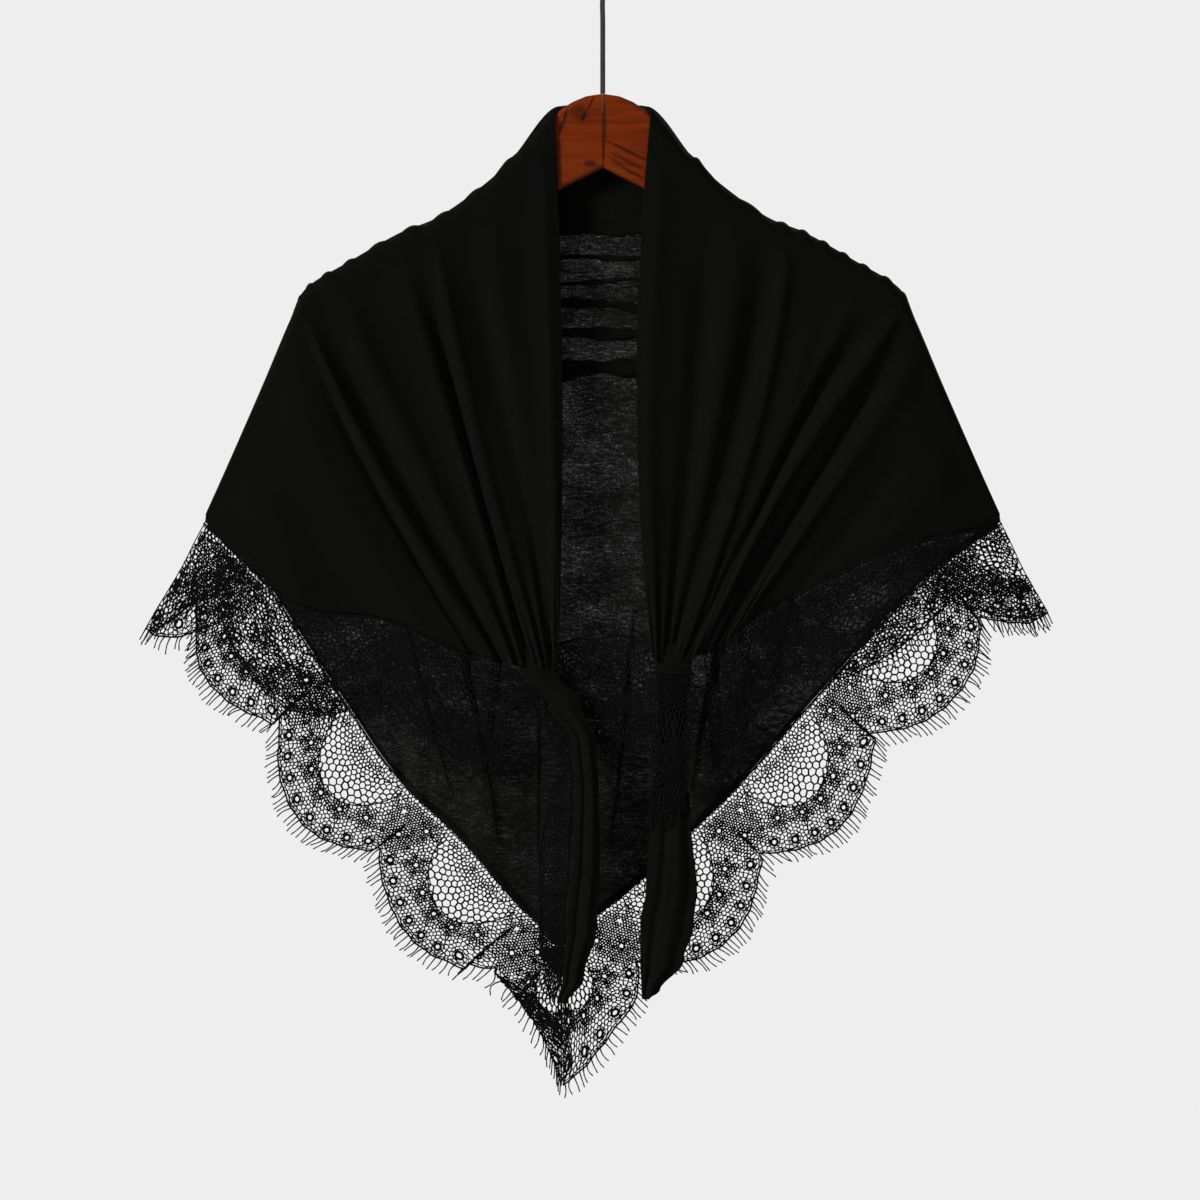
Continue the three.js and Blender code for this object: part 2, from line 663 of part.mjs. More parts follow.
// ---- assembly ----
const garment = new THREE.Group();
garment.position.z = -HOOK_DROP;

const frontLeft = frontPanel(-1, FRONT_LEFT, FOLDS_LEFT);
const frontRight = frontPanel(1, FRONT_RIGHT, FOLDS_RIGHT);
garment.add(piece("hanger_arm_left", arm(-1), wood));
garment.add(piece("hanger_arm_right", arm(1), wood));
garment.add(piece("back_panel", backPanel(), jersey));
garment.add(piece("neck_band", neckBand(), jersey));
garment.add(piece("front_left", frontLeft.geometry, jersey));
garment.add(piece("front_right", frontRight.geometry, jersey));
garment.add(piece("tail_left", tail(TAIL_LEFT), jersey));
garment.add(piece("tail_right", tail(TAIL_RIGHT), jersey));

const edgings = {
  back_left: backLace(-1, { foldLean: 29, legLean: 50, foldDepth: 89, firstValley: 27 }),
  back_right: backLace(1, { foldLean: 27.5, legLean: 44, foldDepth: 74, firstValley: 54 }),
  front_left: frontLace(-1, frontLeft, { foldLean: 29, hemLean: 5, foldDepth: 89, firstValley: 40 }),
  front_right: frontLace(1, frontRight, { foldLean: 27.5, hemLean: 5, foldDepth: 74, firstValley: 50 }),
  tail_left: tailLaceLeft(),
  tail_right: tailLaceRight(),
  crossing: crossingLace(),
};
for (const [name, edging] of Object.entries(edgings)) {
  garment.add(piece(`lace_${name}`, edging.lace, lace));
  garment.add(piece(`fringe_${name}`, edging.fringe, lace));
}

const part = new THREE.Group();
part.add(piece("hook", hook(), wire));
part.add(garment);

export default part;
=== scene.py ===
# %% [markdown]
# # A lace-edged headscarf on a wooden hanger
# The scarf is one triangle of thin black jersey with a scalloped lace edging. It hangs like a
# shawl: the point falls behind, both front ends are gathered and end in tails. Everything is built
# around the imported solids, which are loaded first as a fixed frame.

import math

import bpy
import numpy as np
from mathutils.geometry import delaunay_2d_cdt
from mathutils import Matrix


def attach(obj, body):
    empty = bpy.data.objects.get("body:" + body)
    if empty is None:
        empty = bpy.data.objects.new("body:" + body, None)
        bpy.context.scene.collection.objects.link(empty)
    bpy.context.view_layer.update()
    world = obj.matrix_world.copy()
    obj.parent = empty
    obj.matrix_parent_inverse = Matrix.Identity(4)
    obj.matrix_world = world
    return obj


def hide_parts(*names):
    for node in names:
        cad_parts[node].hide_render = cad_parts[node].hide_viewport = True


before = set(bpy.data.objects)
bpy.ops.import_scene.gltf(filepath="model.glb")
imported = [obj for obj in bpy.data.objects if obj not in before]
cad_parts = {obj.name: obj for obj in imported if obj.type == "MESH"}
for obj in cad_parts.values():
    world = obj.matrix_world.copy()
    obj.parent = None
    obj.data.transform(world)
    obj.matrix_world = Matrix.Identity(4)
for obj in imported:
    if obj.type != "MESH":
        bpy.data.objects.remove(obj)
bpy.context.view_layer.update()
print("solids in the frame:", len(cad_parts))

# %% [markdown]
# ## Sizes
# Lengths are kept in millimetres, as on a pattern sheet, and turned into metres only when a mesh is
# made. "Drop" is the distance below the top of the wood, "out" the distance from the centre line
# and "forward" the distance in front of the hanger's middle. The same few sizes as in the solids
# are repeated here, so that every thin cloth lies on its own solid.

# %% Driving sizes
MM = 0.001
HOOK_DROP = 128.0  # from the seat of the hook to the top of the wood
ARM_LENGTH = 222.0
ARM_SWEEP = 8.0  # the ends of the arms come this far forward
FRONT_STAND = 7.7  # how far the fronts hang in front of the wood's middle
BACK_STAND = 9.4
FOLD_STAND = 1.6  # the same at the side folds
RIDGE_HALF_GAP = 0.35
GATHER_STAND = 6.0
GATHER_SHARE = 15 / 36  # where a gather ends, on the way from the neck to the side corner
SCALLOP_REPEAT = 119.0
SCALLOP_VALLEY = 46.0
SCALLOP_PEAK = 77.0
POINT_REACH = 104.0
JERSEY_THICK = 0.7
HEM_THICK, TUCK_THICK, BAND_THICK = 0.5, 0.4, 0.6

# %% [markdown]
# ## The lines of the drape
# Each table has one row for each section from the neck to the lower side corner: the shoulder
# line and side fold, then where every line down a front passes half way and where it meets the hem.
# A smooth curve through the rows gives any line in between.

# %% Tables of the drape
SHOULDER = np.array([  # out, drop
    (35, 10), (70, 52), (115, 87), (147, 101), (182, 121),
    (214, 141), (226, 165), (245, 210), (269, 265), (286.5, 304),
], float)
FRONT_LEFT = np.array([  # mid out, mid drop, hem out, hem drop
    (29, 217, 33, 413), (58, 232, 38, 415.5), (90, 250, 46, 416), (102, 258, 57, 414),
    (130, 268, 70, 410), (156, 280, 86, 406), (172, 284, 106, 401), (206, 297, 158, 379),
    (247, 317, 222, 367), (286, 307.5, 285, 311),
], float)
FRONT_RIGHT = np.array([
    (24.5, 217, 36, 408), (60, 235, 44, 413), (104, 242, 54, 413), (124, 249, 63, 409),
    (140, 256, 76, 402), (161, 265, 92, 393), (178, 272, 108, 378), (209, 284, 158, 352),
    (247, 298, 212, 327), (285.5, 307.5, 285, 311),
], float)
LEG_LEFT = np.array([  # x, drop
    (-45, 600), (-64, 582), (-90, 551), (-112, 528), (-139, 503),
    (-160, 478), (-180, 448), (-210, 403), (-247, 348), (-287.5, 309.5),
], float)
LEG_RIGHT = np.array([
    (-5, 593), (22, 572), (68, 528), (97, 500), (127, 466),
    (150, 440), (172, 415), (205, 378), (247, 338), (287.5, 309.5),
], float)
POINT_OF_BACK = (-30.0, 614.0)
NECK_FOLD = (0.0, 12.0)

# %% [markdown]
# A fold is a row of its own: where it sits as a share of the way from the neck to the side corner,
# how wide it is, how far it rises (a trough has a minus sign), where down the cloth it starts, and
# how much it drifts sideways on its way to the hem. Uneven numbers are what make folds look real.

# %% Tables of folds
FOLDS_LEFT = [  # at, width, rise, start, drift
    (0.045, 0.022, 2.4, 0.00, -0.01), (0.145, 0.028, 2.8, 0.00, -0.03), (0.200, 0.027, -5.0, 0.05, -0.11),
    (0.250, 0.020, 3.0, 0.00, -0.06), (0.300, 0.027, -5.2, 0.06, -0.02), (0.350, 0.022, 2.8, 0.01, -0.02),
    (0.495, 0.028, 4.2, 0.00, -0.09), (0.548, 0.026, -5.2, 0.06, -0.08), (0.602, 0.024, 3.6, 0.01, -0.08),
    (0.655, 0.030, -4.6, 0.10, -0.06), (0.735, 0.034, 2.8, 0.06, -0.02), (0.805, 0.030, -1.8, 0.22, 0.01),
    (0.875, 0.034, 1.8, 0.16, 0.00),
]
FOLDS_RIGHT = [
    (0.042, 0.022, 2.4, 0.00, 0.00), (0.128, 0.024, -4.2, 0.04, 0.00), (0.182, 0.024, 3.0, 0.00, -0.04),
    (0.235, 0.026, -5.2, 0.04, -0.08), (0.288, 0.022, 2.8, 0.00, -0.08), (0.400, 0.034, 1.6, 0.12, -0.10),
    (0.490, 0.024, 2.4, 0.02, -0.20), (0.545, 0.027, -5.2, 0.07, -0.27), (0.596, 0.025, 4.2, 0.00, -0.24),
    (0.655, 0.028, -4.6, 0.08, -0.17), (0.712, 0.028, 3.2, 0.02, -0.11), (0.775, 0.028, -2.2, 0.20, -0.04),
    (0.850, 0.034, 2.0, 0.14, 0.00),
]
SWAGS = [  # drop, width, rise, reach to each side, tilt
    (117, 4.5, 2.2, 120, 0.01), (128, 4.0, -1.6, 90, -0.01), (136, 4.5, 1.9, 140, 0.015),
    (152, 6.0, 2.2, 130, -0.02), (163, 4.0, -1.5, 80, 0.01), (172, 5.0, 2.4, 150, 0.02),
    (186, 6.0, -1.6, 110, 0.00), (198, 7.0, 2.6, 190, -0.015), (222, 10.0, 1.2, 120, 0.02),
    (262, 14.0, 1.4, 170, -0.03), (318, 18.0, -1.3, 150, 0.03),
]
LONG_FOLDS = [  # at (0 left corner, 1 right corner), width, rise
    (0.10, 0.016, -1.6), (0.165, 0.014, 1.8), (0.24, 0.012, 3.4), (0.262, 0.010, -2.4),
    (0.33, 0.018, 1.6), (0.36, 0.02, -2.5), (0.43, 0.018, 1.8), (0.475, 0.012, -1.5),
    (0.53, 0.016, 2.0), (0.58, 0.014, -1.8), (0.66, 0.02, -2.5), (0.70, 0.014, 2.0),
    (0.745, 0.010, -2.2), (0.77, 0.013, 3.4), (0.84, 0.014, -2.0), (0.90, 0.016, 1.7),
]

# %% [markdown]
# ## Small tools
# Three little functions do most of the work: a smooth curve through a table, a soft step, and a
# soft bump. They take whole arrays, so a sheet of forty thousand points is one call.

# %% Curve, step and bump
def through(rows, share):
    """Points of a smooth curve through the rows of a table, at shares of its length."""
    last = len(rows) - 1
    place = np.clip(share, 0, 1) * last
    index = np.minimum(place.astype(int), last - 1)
    t = (place - index)[..., None]
    before, a = rows[np.maximum(index - 1, 0)], rows[index]
    b, after = rows[index + 1], rows[np.minimum(index + 2, last)]
    start, end = (b - before) / 2, (after - a) / 2
    return (2 * a - 2 * b + start + end) * t**3 + (3 * b - 3 * a - 2 * start - end) * t**2 + start * t + a


def step(value, low, high):
    t = np.clip((value - low) / (high - low), 0, 1)
    return t * t * (3 - 2 * t)


def bump(distance, width):
    return np.exp(-((distance / width) ** 2))


def mix(a, b, share):
    return a + (b - a) * share


def to_space(x, drop, forward):
    """Points in metres from places on the garment."""
    sweep = -ARM_SWEEP * np.minimum(1, np.abs(x) / ARM_LENGTH) ** 2
    return np.stack([x, sweep - forward, -HOOK_DROP - drop], axis=-1) * MM


def lattice(columns, rows):
    """Two arrays of shares, across and down, for a sheet of cloth."""
    return np.meshgrid(np.linspace(0, 1, columns), np.linspace(0, 1, rows))


print("half way along the shoulder:", through(SHOULDER, np.array([0.5]))[0])

# %% [markdown]
# ## From points to a mesh
# A sheet is a regular net of points, so its faces are simply the squares between them. Jersey gets
# a Solidify modifier: real cloth has two sides and a rolled edge, and light treats it better so.

# %% Sheet meshes
def in_scene(name, data):
    """An object for a mesh, a light or a camera, linked to the scene."""
    thing = bpy.data.objects.new(name, data)
    bpy.context.scene.collection.objects.link(thing)
    return thing


def mesh_object(name, points, faces, material):
    mesh = bpy.data.meshes.new(name)
    mesh.from_pydata(points.reshape(-1, 3).tolist(), [], faces.tolist())
    mesh.materials.append(material)
    mesh.shade_smooth()
    return in_scene(name, mesh)


def grid_faces(rows, columns):
    corner = (np.arange(rows - 1)[:, None] * columns + np.arange(columns - 1)).reshape(-1)
    return np.stack([corner, corner + columns, corner + columns + 1, corner + 1], axis=1)


def cloth(name, points, material, thick=JERSEY_THICK):
    """A sheet of cloth from its net of points, with a small real thickness."""
    rows, columns = points.shape[:2]
    piece = mesh_object(name, points, grid_faces(rows, columns), material)
    solid = piece.modifiers.new("two sides", "SOLIDIFY")
    solid.thickness = thick * MM
    solid.offset = 0
    print(name, "points:", rows * columns)
    return piece


# %% [markdown]
# ## Jersey finish
# The scarf is knitted from uneven "slub" yarn: thick and thin stretches lie side by side in
# rows, and where the yarn is thin the light comes through. Three noises, all stretched along X, are
# added up. The sum drives three things: how much shows through, the tint and the bump. Where the
# cloth is folded double it isn't sheer, so hems, tucks and tails get the same finish without that.

# %% Jersey material
def new_material(name, colour, roughness, **sockets):
    """A plain material. Further sockets are named with _ for a space, as in Sheen_Weight=0.1."""
    material = bpy.data.materials.new(name)
    material.use_nodes = True
    shader = material.node_tree.nodes["Principled BSDF"]
    shader.inputs["Base Color"].default_value = (*colour, 1)
    shader.inputs["Roughness"].default_value = roughness
    for socket, value in sockets.items():
        shader.inputs[socket.replace("_", " ")].default_value = value
    return material, material.node_tree, shader


def add_node(tree, kind, **values):
    node = tree.nodes.new(kind)
    for name, value in values.items():
        if name in node.inputs:
            node.inputs[name].default_value = value
        else:
            setattr(node, name, value)
    return node


def stretched_noise(tree, scale, noise_scale, detail):
    """Noise whose grain is long or short along each axis, in object space."""
    place = add_node(tree, "ShaderNodeTexCoord")
    mapping = add_node(tree, "ShaderNodeMapping")
    mapping.inputs["Scale"].default_value = scale
    noise = add_node(tree, "ShaderNodeTexNoise", Scale=noise_scale, Detail=detail, Roughness=0.6)
    tree.links.new(place.outputs["Object"], mapping.inputs["Vector"])
    tree.links.new(mapping.outputs["Vector"], noise.inputs["Vector"])
    return noise.outputs["Fac"]


def ramp(tree, value, stops):
    """Colours along a value: stops of place and colour."""
    node = add_node(tree, "ShaderNodeValToRGB")
    elements = node.color_ramp.elements
    for element, (position, colour) in ((elements[0], stops[0]), (elements[1], stops[-1])):
        element.position, element.color = position, (*colour, 1)
    for position, colour in stops[1:-1]:
        elements.new(position).color = (*colour, 1)
    tree.links.new(value, node.inputs["Fac"])
    return node.outputs["Color"]


def grey(value):
    return (value, value, value)


def bump_from(tree, shader, value, strength, distance):
    node = add_node(tree, "ShaderNodeBump", Strength=strength, Distance=distance)
    tree.links.new(value, node.inputs["Height"])
    tree.links.new(node.outputs["Normal"], shader.inputs["Normal"])


def worked_out(tree, operation, *terms):
    """A sum with sockets and plain numbers."""
    node = add_node(tree, "ShaderNodeMath", operation=operation)
    for socket, term in zip(node.inputs, terms):
        if isinstance(term, float):
            socket.default_value = term
        else:
            tree.links.new(term, socket)
    return node.outputs["Value"]


def ranged(tree, value, from_range, to_range):
    """A value moved from one range to another."""
    node = add_node(tree, "ShaderNodeMapRange")
    limits = zip(("From Min", "From Max", "To Min", "To Max"), (*from_range, *to_range))
    for socket, limit in limits:
        node.inputs[socket].default_value = limit
    tree.links.new(value, node.inputs["Value"])
    return node.outputs["Result"]


def weighted(tree, a, b, share):
    """Two noises added together, with a share of the second."""
    node = add_node(tree, "ShaderNodeMix", data_type="FLOAT", Factor=share)
    tree.links.new(a, node.inputs["A"])
    tree.links.new(b, node.inputs["B"])
    return node.outputs["Result"]


def see_through(tree, shader, slub):
    """How much shows through the knit: less below a set height, towards the point of the scarf."""
    openness = ramp(tree, slub, [
        (0.40, grey(0.02)), (0.50, grey(0.075)), (0.56, grey(0.16)), (0.66, grey(0.40))])
    place = add_node(tree, "ShaderNodeTexCoord")
    height = add_node(tree, "ShaderNodeSeparateXYZ")
    tree.links.new(place.outputs["Object"], height.inputs[0])
    # Below a set height the openness is scaled down to two thirds, so the cloth shows less through towards
    # the point.
    stretch = ranged(tree, height.outputs["Z"], (-0.60, -0.54), (0.66, 1.0))
    light = worked_out(tree, "MULTIPLY", openness, stretch)
    tree.links.new(worked_out(tree, "SUBTRACT", 1.0, light), shader.inputs["Alpha"])


def jersey_material(name, sheer=True):
    """Slub jersey: a fine grain, longer streaks along the rows and a broad unevenness in the knit."""
    material, tree, shader = new_material(
        name, (0.002, 0.002, 0.0017), 0.9, Specular_IOR_Level=0.035,
        Sheen_Weight=0.018, Sheen_Roughness=0.4, Sheen_Tint=(1.0, 0.93, 0.82, 1))
    grain = stretched_noise(tree, (650, 900, 1250), 1.0, 2.0)
    streaks = stretched_noise(tree, (150, 300, 800), 1.0, 2.0)
    uneven = stretched_noise(tree, (25, 50, 60), 1.0, 2.0)
    slub = weighted(tree, weighted(tree, grain, streaks, 0.38), uneven, 0.18)
    tint = ramp(tree, slub, [(0.38, (0.0015, 0.0015, 0.0013)), (0.62, (0.0028, 0.0027, 0.0023))])
    tree.links.new(tint, shader.inputs["Base Color"])
    if sheer:
        see_through(tree, shader, slub)
    bump_from(tree, shader, slub, 0.5, 0.0003)
    return material


jersey = jersey_material("jersey")
folded_jersey = jersey_material("folded jersey", sheer=False)
print("materials:", [material.name for material in bpy.data.materials][:6])

# %% [markdown]
# ## Front panels
# Each front hangs over the hanger's arm like a towel over a rail, and all its lines run in to the
# gather. So the sheet is ruled along those lines: a row of the net is a short way down every line
# at once. It first turns over the arm in a quarter circle, then hangs, with its folds added.

# %% Shape of a front
FRONT_TABLES = {-1: (FRONT_LEFT, FOLDS_LEFT), 1: (FRONT_RIGHT, FOLDS_RIGHT)}
TIP_SHARE = 6 / 9  # the end of the shoulder in the tables
FRONT_NET, BACK_NET = (210, 110), (220, 140)  # points across and down
FRONT_OVER, BACK_OVER = 0.08, 0.05  # share of the rows spent on the turn over the arm


def front_turn(share, rows):
    """How far a front stands off, and the share of each line that turns over the arm."""
    length = np.linalg.norm(through(SHOULDER, share) - through(rows[:, 2:], share), axis=-1)
    stand = mix(FRONT_STAND, FOLD_STAND, step(share, TIP_SHARE, 1))
    return stand, stand / length, length


def front_at(side, share, down):
    """Place of a point of a front: x, drop and forward."""
    rows, folds = FRONT_TABLES[side]
    top, mid, foot = through(SHOULDER, share), through(rows[:, :2], share), through(rows[:, 2:], share)
    stand, turn, length = front_turn(share, rows)
    d = down[..., None]
    flat = top * (1 - d) * (1 - 2 * d) + mid * 4 * d * (1 - d) + foot * d * (2 * d - 1)
    angle = np.arccos(np.clip(1 - down / turn, 0, 1))
    turning = RIDGE_HALF_GAP + stand * np.sin(angle)
    roomy = np.minimum(1, length / 70)
    level = (FRONT_STAND - stand) * roomy * step(down, 0, 1)
    bunched = 1 - step(share, GATHER_SHARE, TIP_SHARE + 0.15)
    gathered = GATHER_STAND * step(down, 0.35, 1) * bunched
    narrowing = mix(1, 0.6, step(down, 0.7, 1)) * roomy
    relief = np.zeros_like(down)
    for at, width, rise, start, drift in folds:
        grown = step(down, start, start + (0.18 if rise > 0 else 0.3)) * narrowing
        relief += rise * bump(share - at - drift * down, width) * grown
    pleats = np.sin(2 * math.pi * (share * 21 + 0.35 * np.sin(9 * share)))
    relief += 0.9 * pleats * step(down, 0.68, 1) * bunched
    hanging = RIDGE_HALF_GAP + stand + level + gathered + relief
    return side * flat[..., 0], flat[..., 1], np.where(down < turn, turning, hanging)


def shoulder_bump(x, down):
    """A small roll of cloth on each shoulder, where the turned edge passes over the wood."""
    return 3.2 * bump(np.abs(x) - 68.5, 3.6) * (1 - step(down, 0, 0.06))


def rows_down(level, over, turn):
    """How far down each row lies, when the first rows of the net turn over the arm."""
    angle = np.clip(level / over, 0, 1) * math.pi / 2
    return np.where(level < over, turn * (1 - np.cos(angle)), mix(turn, 1, (level - over) / (1 - over)))


def front_cloth(side, name):
    share, level = lattice(*FRONT_NET)
    _, turn, _ = front_turn(share, FRONT_TABLES[side][0])
    down = rows_down(level, FRONT_OVER, turn)
    x, drop, forward = front_at(side, share, down)
    # Small gathers along the shoulder, where the cloth bunches over the wood.
    shoulder = (1 - step(down, 0.0, 0.12)) * step(share, 0.02, 0.1) * (1 - step(share, 0.55, 0.66))
    drop -= 1.6 * shoulder * np.sin(2 * math.pi * (share * 17 + 0.4 * np.sin(13 * share + side)))
    drop -= shoulder_bump(x, down)
    return cloth(name, to_space(x, drop, forward), jersey)


front_left = front_cloth(-1, "front_left_jersey")
front_right = front_cloth(1, "front_right_jersey")

# %% [markdown]
# ## Back panel
# The back is one sheet from the neck and shoulders down to the point. Slack cloth makes small swags
# across it under the neck, and a few long folds run down from the shoulders to the two short sides.

# %% Shape of the back
BACK_TOP = np.concatenate([SHOULDER[::-1] * (-1, 1), [NECK_FOLD], SHOULDER])
BACK_HEM = np.concatenate([LEG_LEFT[::-1], [POINT_OF_BACK], LEG_RIGHT])


def back_turn(across):
    top, foot = through(BACK_TOP, across), through(BACK_HEM, across)
    from_centre = np.abs(across - 0.5) * 2
    stand = mix(BACK_STAND, FOLD_STAND, step(from_centre, 0.7, 1))
    length = np.linalg.norm(top - foot, axis=-1)
    return top, foot, stand, stand / length, length


def back_at(across, down):
    """Place of a point of the back: x, drop and forward (always behind, so less than nothing)."""
    top, foot, stand, turn, length = back_turn(across)
    flat = mix(top, foot, down[..., None])
    x, drop = flat[..., 0], flat[..., 1]
    over_shoulder = step(np.abs(top[..., 0]), 31, 35)
    angle = np.arccos(np.clip(1 - down / turn, 0, 1))
    turning = -RIDGE_HALF_GAP - mix(stand, stand * np.sin(angle), over_shoulder)
    roomy = np.minimum(1, length / 90)
    relief = np.zeros_like(down)
    for swag_drop, width, rise, reach, tilt in SWAGS:
        relief += rise * bump(drop - swag_drop - tilt * x - 0.0006 * x * x, width) * bump(x, reach)
    for at, width, rise in LONG_FOLDS:
        relief += rise * bump(across - at, width) * step(down, 0.3, 0.8) * roomy
    level = (BACK_STAND - stand) * roomy * step(down, 0, 1)
    hanging = -RIDGE_HALF_GAP - stand - level - relief
    return x, drop, np.where(down < turn, turning, hanging)


across, level = lattice(*BACK_NET)
down = rows_down(level, BACK_OVER, back_turn(across)[3])
x, drop, forward = back_at(across, down)
back = cloth("back_jersey", to_space(x, drop - shoulder_bump(x, down), forward), jersey)


# %% [markdown]
# The edge beside the lace is turned in once and stitched, which makes a narrow band that no light
# comes through. The fronts have the same hem. Slack cloth also folds on itself in flat tucks, which
# look darker for the same reason: some cross the back of the neck, and longer, narrower ones run
# down the back beside its folds.

# %% Hems and tucks
HEM_WIDE = 4.5
HEM_PAST = 1.0  # the hem's fold lies this far over the lace
HEM_OFF = 0.9  # and this far off the cloth
NECK_TUCKS = [  # drop, height, tilt, bow, phase
    (117.6, 4.4, 0.01, 0.0008, 0.4), (134.8, 3.6, -0.07, 0.0012, 2.1), (152.0, 7.5, 0.09, 0.0010, 4.0),
    (172.8, 10.0, 0.02, 0.0010, 1.2), (198.0, 15.0, -0.03, 0.0008, 5.1),
]
TUCK_HALF, TUCK_SHARE = 37, 0.09  # half the length of a neck tuck, and its whole share of the back
LONG_TUCKS = [  # at (as in the long folds), width, from, to, drift
    (0.245, 0.010, 0.52, 0.93, 0.060), (0.335, 0.013, 0.58, 0.95, 0.040),
    (0.435, 0.006, 0.68, 0.93, 0.010), (0.575, 0.010, 0.62, 0.93, -0.012),
    (0.675, 0.013, 0.50, 0.93, -0.035), (0.755, 0.008, 0.45, 0.88, -0.030),
]
FOLD_PATH = [0, 0.4, 0.7, 1.0]  # a flat fold goes right across, part of the way back, and on again
FOLD_PLACE = [0, 1.0, 0.25, 0.8]


def back_hem(name, low, high):
    across, level = np.meshgrid(np.linspace(low, high, 120), np.linspace(0, 1, 5))
    length = back_turn(across)[4]
    down = 1 + HEM_PAST / length - (1 - level) * np.minimum(0.4, HEM_WIDE * 1.3 / length)
    x, drop, forward = back_at(across, down)
    return cloth(name, to_space(x, drop, forward + HEM_OFF), folded_jersey, HEM_THICK)


def front_hem(side, name):
    share, level = np.meshgrid(np.linspace(GATHER_SHARE * 0.9, 1, 120), np.linspace(0, 1, 5))
    _, _, length = front_turn(share, FRONT_TABLES[side][0])
    down = 1 + HEM_PAST / length - (1 - level) * np.minimum(0.4, HEM_WIDE / length)
    x, drop, forward = front_at(side, share, down)
    return cloth(name, to_space(x, drop, forward - HEM_OFF), folded_jersey, HEM_THICK)


def back_forward(on_back, drop):
    """The forward place of the back where it is at a drop."""
    top, foot, _, _, _ = back_turn(on_back)
    down = (drop - top[..., 1]) / (foot[..., 1] - top[..., 1])
    return back_at(on_back, np.maximum(0.02, down))[2]


def neck_tuck(name, middle_drop, height, tilt, bow, phase):
    """A flat fold across the back of the neck, with edges that wander as slack cloth does."""
    across, level = lattice(90, 13)
    place, layer = np.interp(level, FOLD_PATH, FOLD_PLACE), 0.6 + 1.6 * level
    x = (across * 2 - 1) * TUCK_HALF
    wander = 0.85 + 0.22 * np.sin(x / 8.3 + phase) + 0.08 * np.sin(x / 3.1 + 2 * phase)
    drop = middle_drop + tilt * x + bow * x**2 + 0.6 * np.sin(x / 9 + phase)
    drop = drop + (place - 0.5) * height * wander
    forward = back_forward(0.5 + (across - 0.5) * TUCK_SHARE, drop)
    return cloth(name, to_space(x, drop, forward + layer), jersey, TUCK_THICK)


def long_tuck(name, at, width, high, low, drift):
    """A flat fold that runs down the back beside a trough, narrow at both ends."""
    level, along = lattice(9, 80)
    place = np.interp(level, FOLD_PATH, FOLD_PLACE) - 0.5
    widest = np.sin(math.pi * along) ** 0.6 * (0.8 + 0.2 * np.sin(11 * along + 50 * at))
    across = at + drift * along + 0.003 * np.sin(5 * along + 30 * at) + place * width * widest
    x, drop, forward = back_at(across, mix(high, low, along))
    return cloth(name, to_space(x, drop, forward + 0.6 + 1.4 * level), jersey, TUCK_THICK)


hems = [back_hem("back_hem_left", 0.004, 0.5), back_hem("back_hem_right", 0.5, 0.996)]
tucks = [neck_tuck(f"neck_tuck_{k}", *row) for k, row in enumerate(NECK_TUCKS, 1)]
tucks += [long_tuck(f"back_tuck_{k}", *row) for k, row in enumerate(LONG_TUCKS, 1)]
hems_left, hems_right = front_hem(-1, "front_hem_left"), front_hem(1, "front_hem_right")

# %% [markdown]
# ## Neck band
# The long edge of the triangle is turned under behind the neck. The second layer makes the cloth
# opaque there, down to the raw edge. It is the back's own surface, moved in by its thickness.

# %% Neck band
BAND_HALF, BAND_SHARE = 33, 0.0465  # half the width of the band, and its share of the back
RAW_EDGE = 101.5
across, level = lattice(60, 40)
share = across * 2 - 1
on_back = 0.5 + share * BAND_SHARE
first = back_turn(on_back)[0][..., 1] + 3 + 16 * share**2
band_drop = mix(first, RAW_EDGE + 0.8 * np.sin(5 * share), level)
band_place = to_space(share * BAND_HALF, band_drop, back_forward(on_back, band_drop) + 1.5)
band = cloth("neck_band_jersey", band_place, folded_jersey, BAND_THICK)

# %% [markdown]
# ## Tails
# The ends of the triangle fall from the gathers as flattened, folded strips. A table gives the
# left and right edge at each drop, and one or two creases run down them.

# %% Tails
TAIL_LEFT = np.array([  # drop, left, right, forward
    (416.8, -60, -34, 14), (440, -40, -16, 14.5), (470, -22, -5, 15), (500, -20, -3, 15),
    (550, -22, -2, 14.5), (600, -26, -4, 14), (640, -29, -14, 13.5), (657, -33, -26, 13),
], float)
TAIL_RIGHT = np.array([
    (413.7, 38, 64, 14), (440, 40, 61, 14.5), (480, 38, 60, 15), (530, 35, 64, 15),
    (575, 31, 68, 14.5), (600, 27, 65.5, 14), (627, 27, 58, 13.5), (648, 28, 41, 13), (654, 28.5, 33, 13),
], float)
TAIL_LACE_LEFT = np.array([  # drop, left
    (416.8, -62), (442, -52), (468, -38), (486, -27), (506, -39), (550, -46),
    (600, -46), (640, -42), (657, -38),
], float)


def column(table, index, drop):
    """A column of a table looked up by drop, with a soft step between rows."""
    place = np.clip(np.searchsorted(table[:, 0], drop), 1, len(table) - 1)
    above, below = table[place - 1], table[place]
    share = step(drop, above[..., 0], below[..., 0])
    return mix(above[..., index], below[..., index], share)


def tail_at(table, share, drop, creases):
    left, right = column(table, 1, drop), column(table, 2, drop)
    forward = column(table, 3, drop) + 1.6 * np.sin(math.pi * share)
    for at, width, rise in creases:
        forward += rise * bump(share - at - 0.05 * np.sin(drop / 37), width) * step(drop, 420, 470)
    return mix(left, right, share), drop, forward


def tail_cloth(name, table, creases):
    """The top of a tail runs up behind the gather it falls from."""
    share, level = lattice(30, 130)
    drop = mix(table[0, 0] - 16, table[-1, 0], level)
    x, _, forward = tail_at(table, share, drop, creases)
    hidden = 1 - step(drop, table[0, 0] - 14, table[0, 0] + 2)
    x += hidden * (share - 0.5) * 4
    return cloth(name, to_space(x, drop, forward - 2.6 * hidden), folded_jersey)


